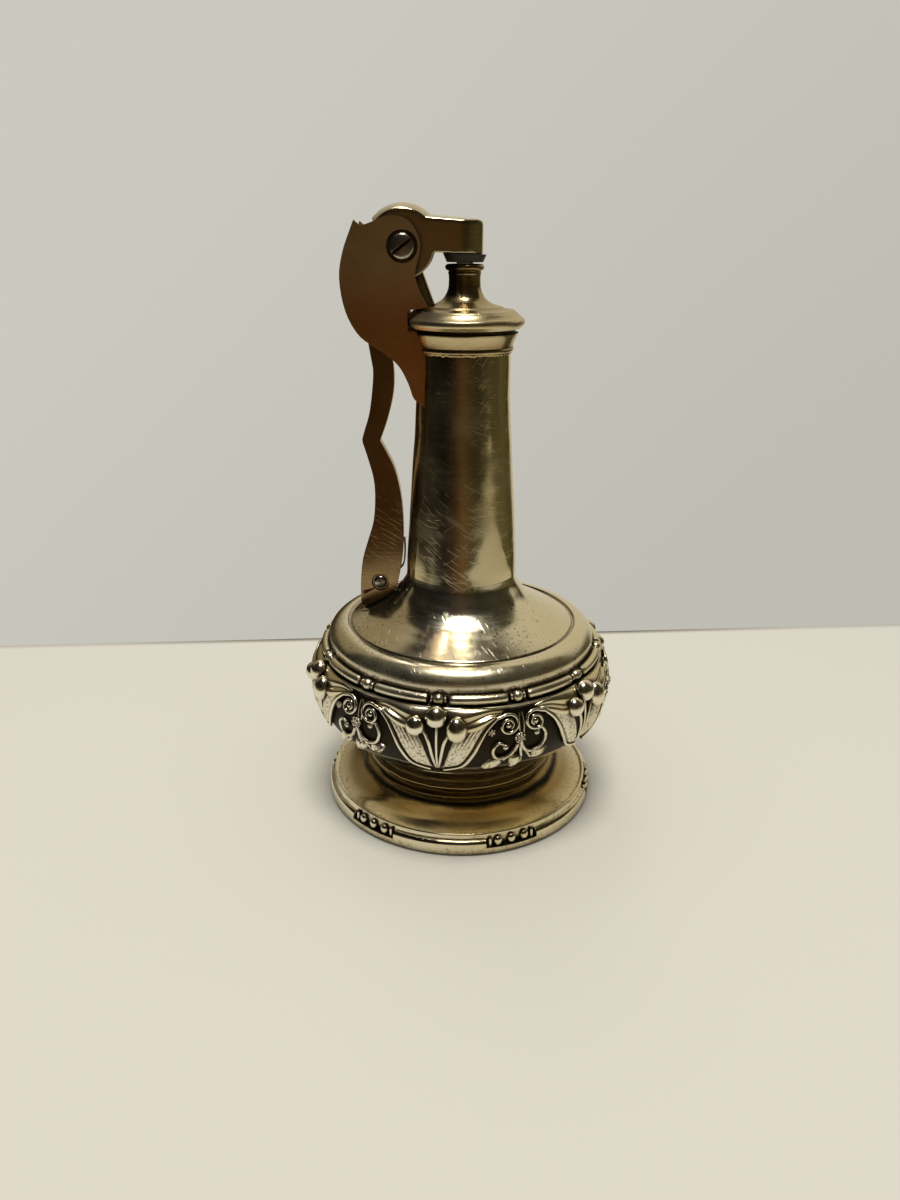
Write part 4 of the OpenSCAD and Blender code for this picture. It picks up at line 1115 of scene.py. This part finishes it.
turned_piece("burner_cap", cap_edge + nozzle + cap_inside, 240, [(0.05, 4.0, 7.7)], cap_silver)

wick_r = 1.4
wick_outline = ([(0.02, 32.5), (1.3, 32.5), (wick_r, 33.0)]
                + [(wick_r, float(z)) for z in np.linspace(34, 96.2, 150)]
                + [(1.28, 96.5), (1.0, 96.72), (0.6, 96.8), (0.02, 96.85)])


def twisted(outline, azimuth):
    """Seven grooves climb round the wick between its strands."""
    outline[:, 0] *= 1 - 0.10 * np.abs(np.sin(np.radians(azimuth) * 3.5 + outline[:, 1] * 0.9))
    return outline


turned_piece("wick", wick_outline, 84, [], wick_cotton, "wick_cotton", twisted)

# %% [markdown]
# ## Plates and mechanism
# Cheeks, lever and sector keep the construction's exact shape, because they have to run in each
# other. A file broke their edges, so each gets a narrow bevel, and polished arcs and flats stay
# apart. The arm was hammered and then worn by hands, so it is remade of small cells and smoothed.

# %% Dressed plates
plate_crisp = 30.0
no_crisp = 180.0


def construction_copy(node):
    """The construction's solid as an edited mesh, with its coinciding points merged."""
    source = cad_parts[node]
    work = bmesh.new()
    work.from_mesh(source.data)
    work.transform(source.matrix_world)
    bmesh.ops.remove_doubles(work, verts=work.verts, dist=same_place)
    return work


def dressed(node, width, finish, slot="satin_silver", body="vase"):
    """A copy of the construction's solid with a bevel of some width on its sharp edges."""
    work = construction_copy(node)
    bmesh.ops.dissolve_limit(work, angle_limit=math.radians(0.4), verts=work.verts, edges=work.edges)
    bmesh.ops.bevel(work, geom=sharp_edges(work, plate_crisp), offset=width * MM, segments=2,
                    profile=0.5, affect="EDGES", clamp_overlap=True)
    finished(node, work, finish, slot, body, plate_crisp)


def softened(node, voxel, rounds, finish, slot, body):
    """A copy remade of small cells and smoothed in rounds, so that every edge is worn."""
    work = construction_copy(node)
    mesh = bpy.data.meshes.new("cells")
    work.to_mesh(mesh)
    work.free()
    block = placed("cells", mesh)
    cells = block.modifiers.new("cells", "REMESH")
    cells.mode = "VOXEL"
    cells.voxel_size = voxel * MM
    rub = block.modifiers.new("rub", "SMOOTH")
    rub.factor = 0.5
    rub.iterations = rounds
    work = bmesh.new()
    work.from_object(block, bpy.context.evaluated_depsgraph_get())
    bpy.data.objects.remove(block)
    bpy.data.meshes.remove(mesh)
    finished(node, work, finish, slot, body, no_crisp)


softened("snuffer_arm", 0.13, 36, arm_silver, "silver", "snuffer_arm")
dressed("snuffer_cup", 0.10, cup_soot, "silver", "snuffer_arm")
dressed("front_cheek", 0.20, plate_satin)
dressed("rear_cheek", 0.20, plate_satin)
dressed("lever", 0.18, lever_satin, body="lever")
dressed("toothed_sector", 0.05, lever_satin, body="lever")
dressed("lever_lug", 0.10, dome_silver)
dressed("pivot_screw", 0.08, screw_steel)
dressed("lever_pin", 0.04, screw_steel)

# %% [markdown]
# The rest keeps its plain solid, since little of it shows, with the finish of its material.

# %% Finishes of the hidden pieces
kept_nodes = {
    "wadding": cotton_wool, "plug_washer": washer_leather, "base_plate": foot_silver,
    "filler_plug": foot_silver, "pivot_bush": old_brass, "flint_tube": old_brass,
    "flint_plug": old_brass, "arm_pinion": old_brass, "flint": flint_grey,
    "flint_spring": screw_steel, "leaf_spring": screw_steel, "wheel_pawl": wheel_steel,
    "spark_wheel": wheel_steel, "ratchet_disc": wheel_steel, "sector_rivets": screw_steel,
}
for node, finish in kept_nodes.items():
    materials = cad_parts[node].data.materials
    materials.clear()
    materials.append(finish)
print(len(kept_nodes), "plain solids keep their shape")
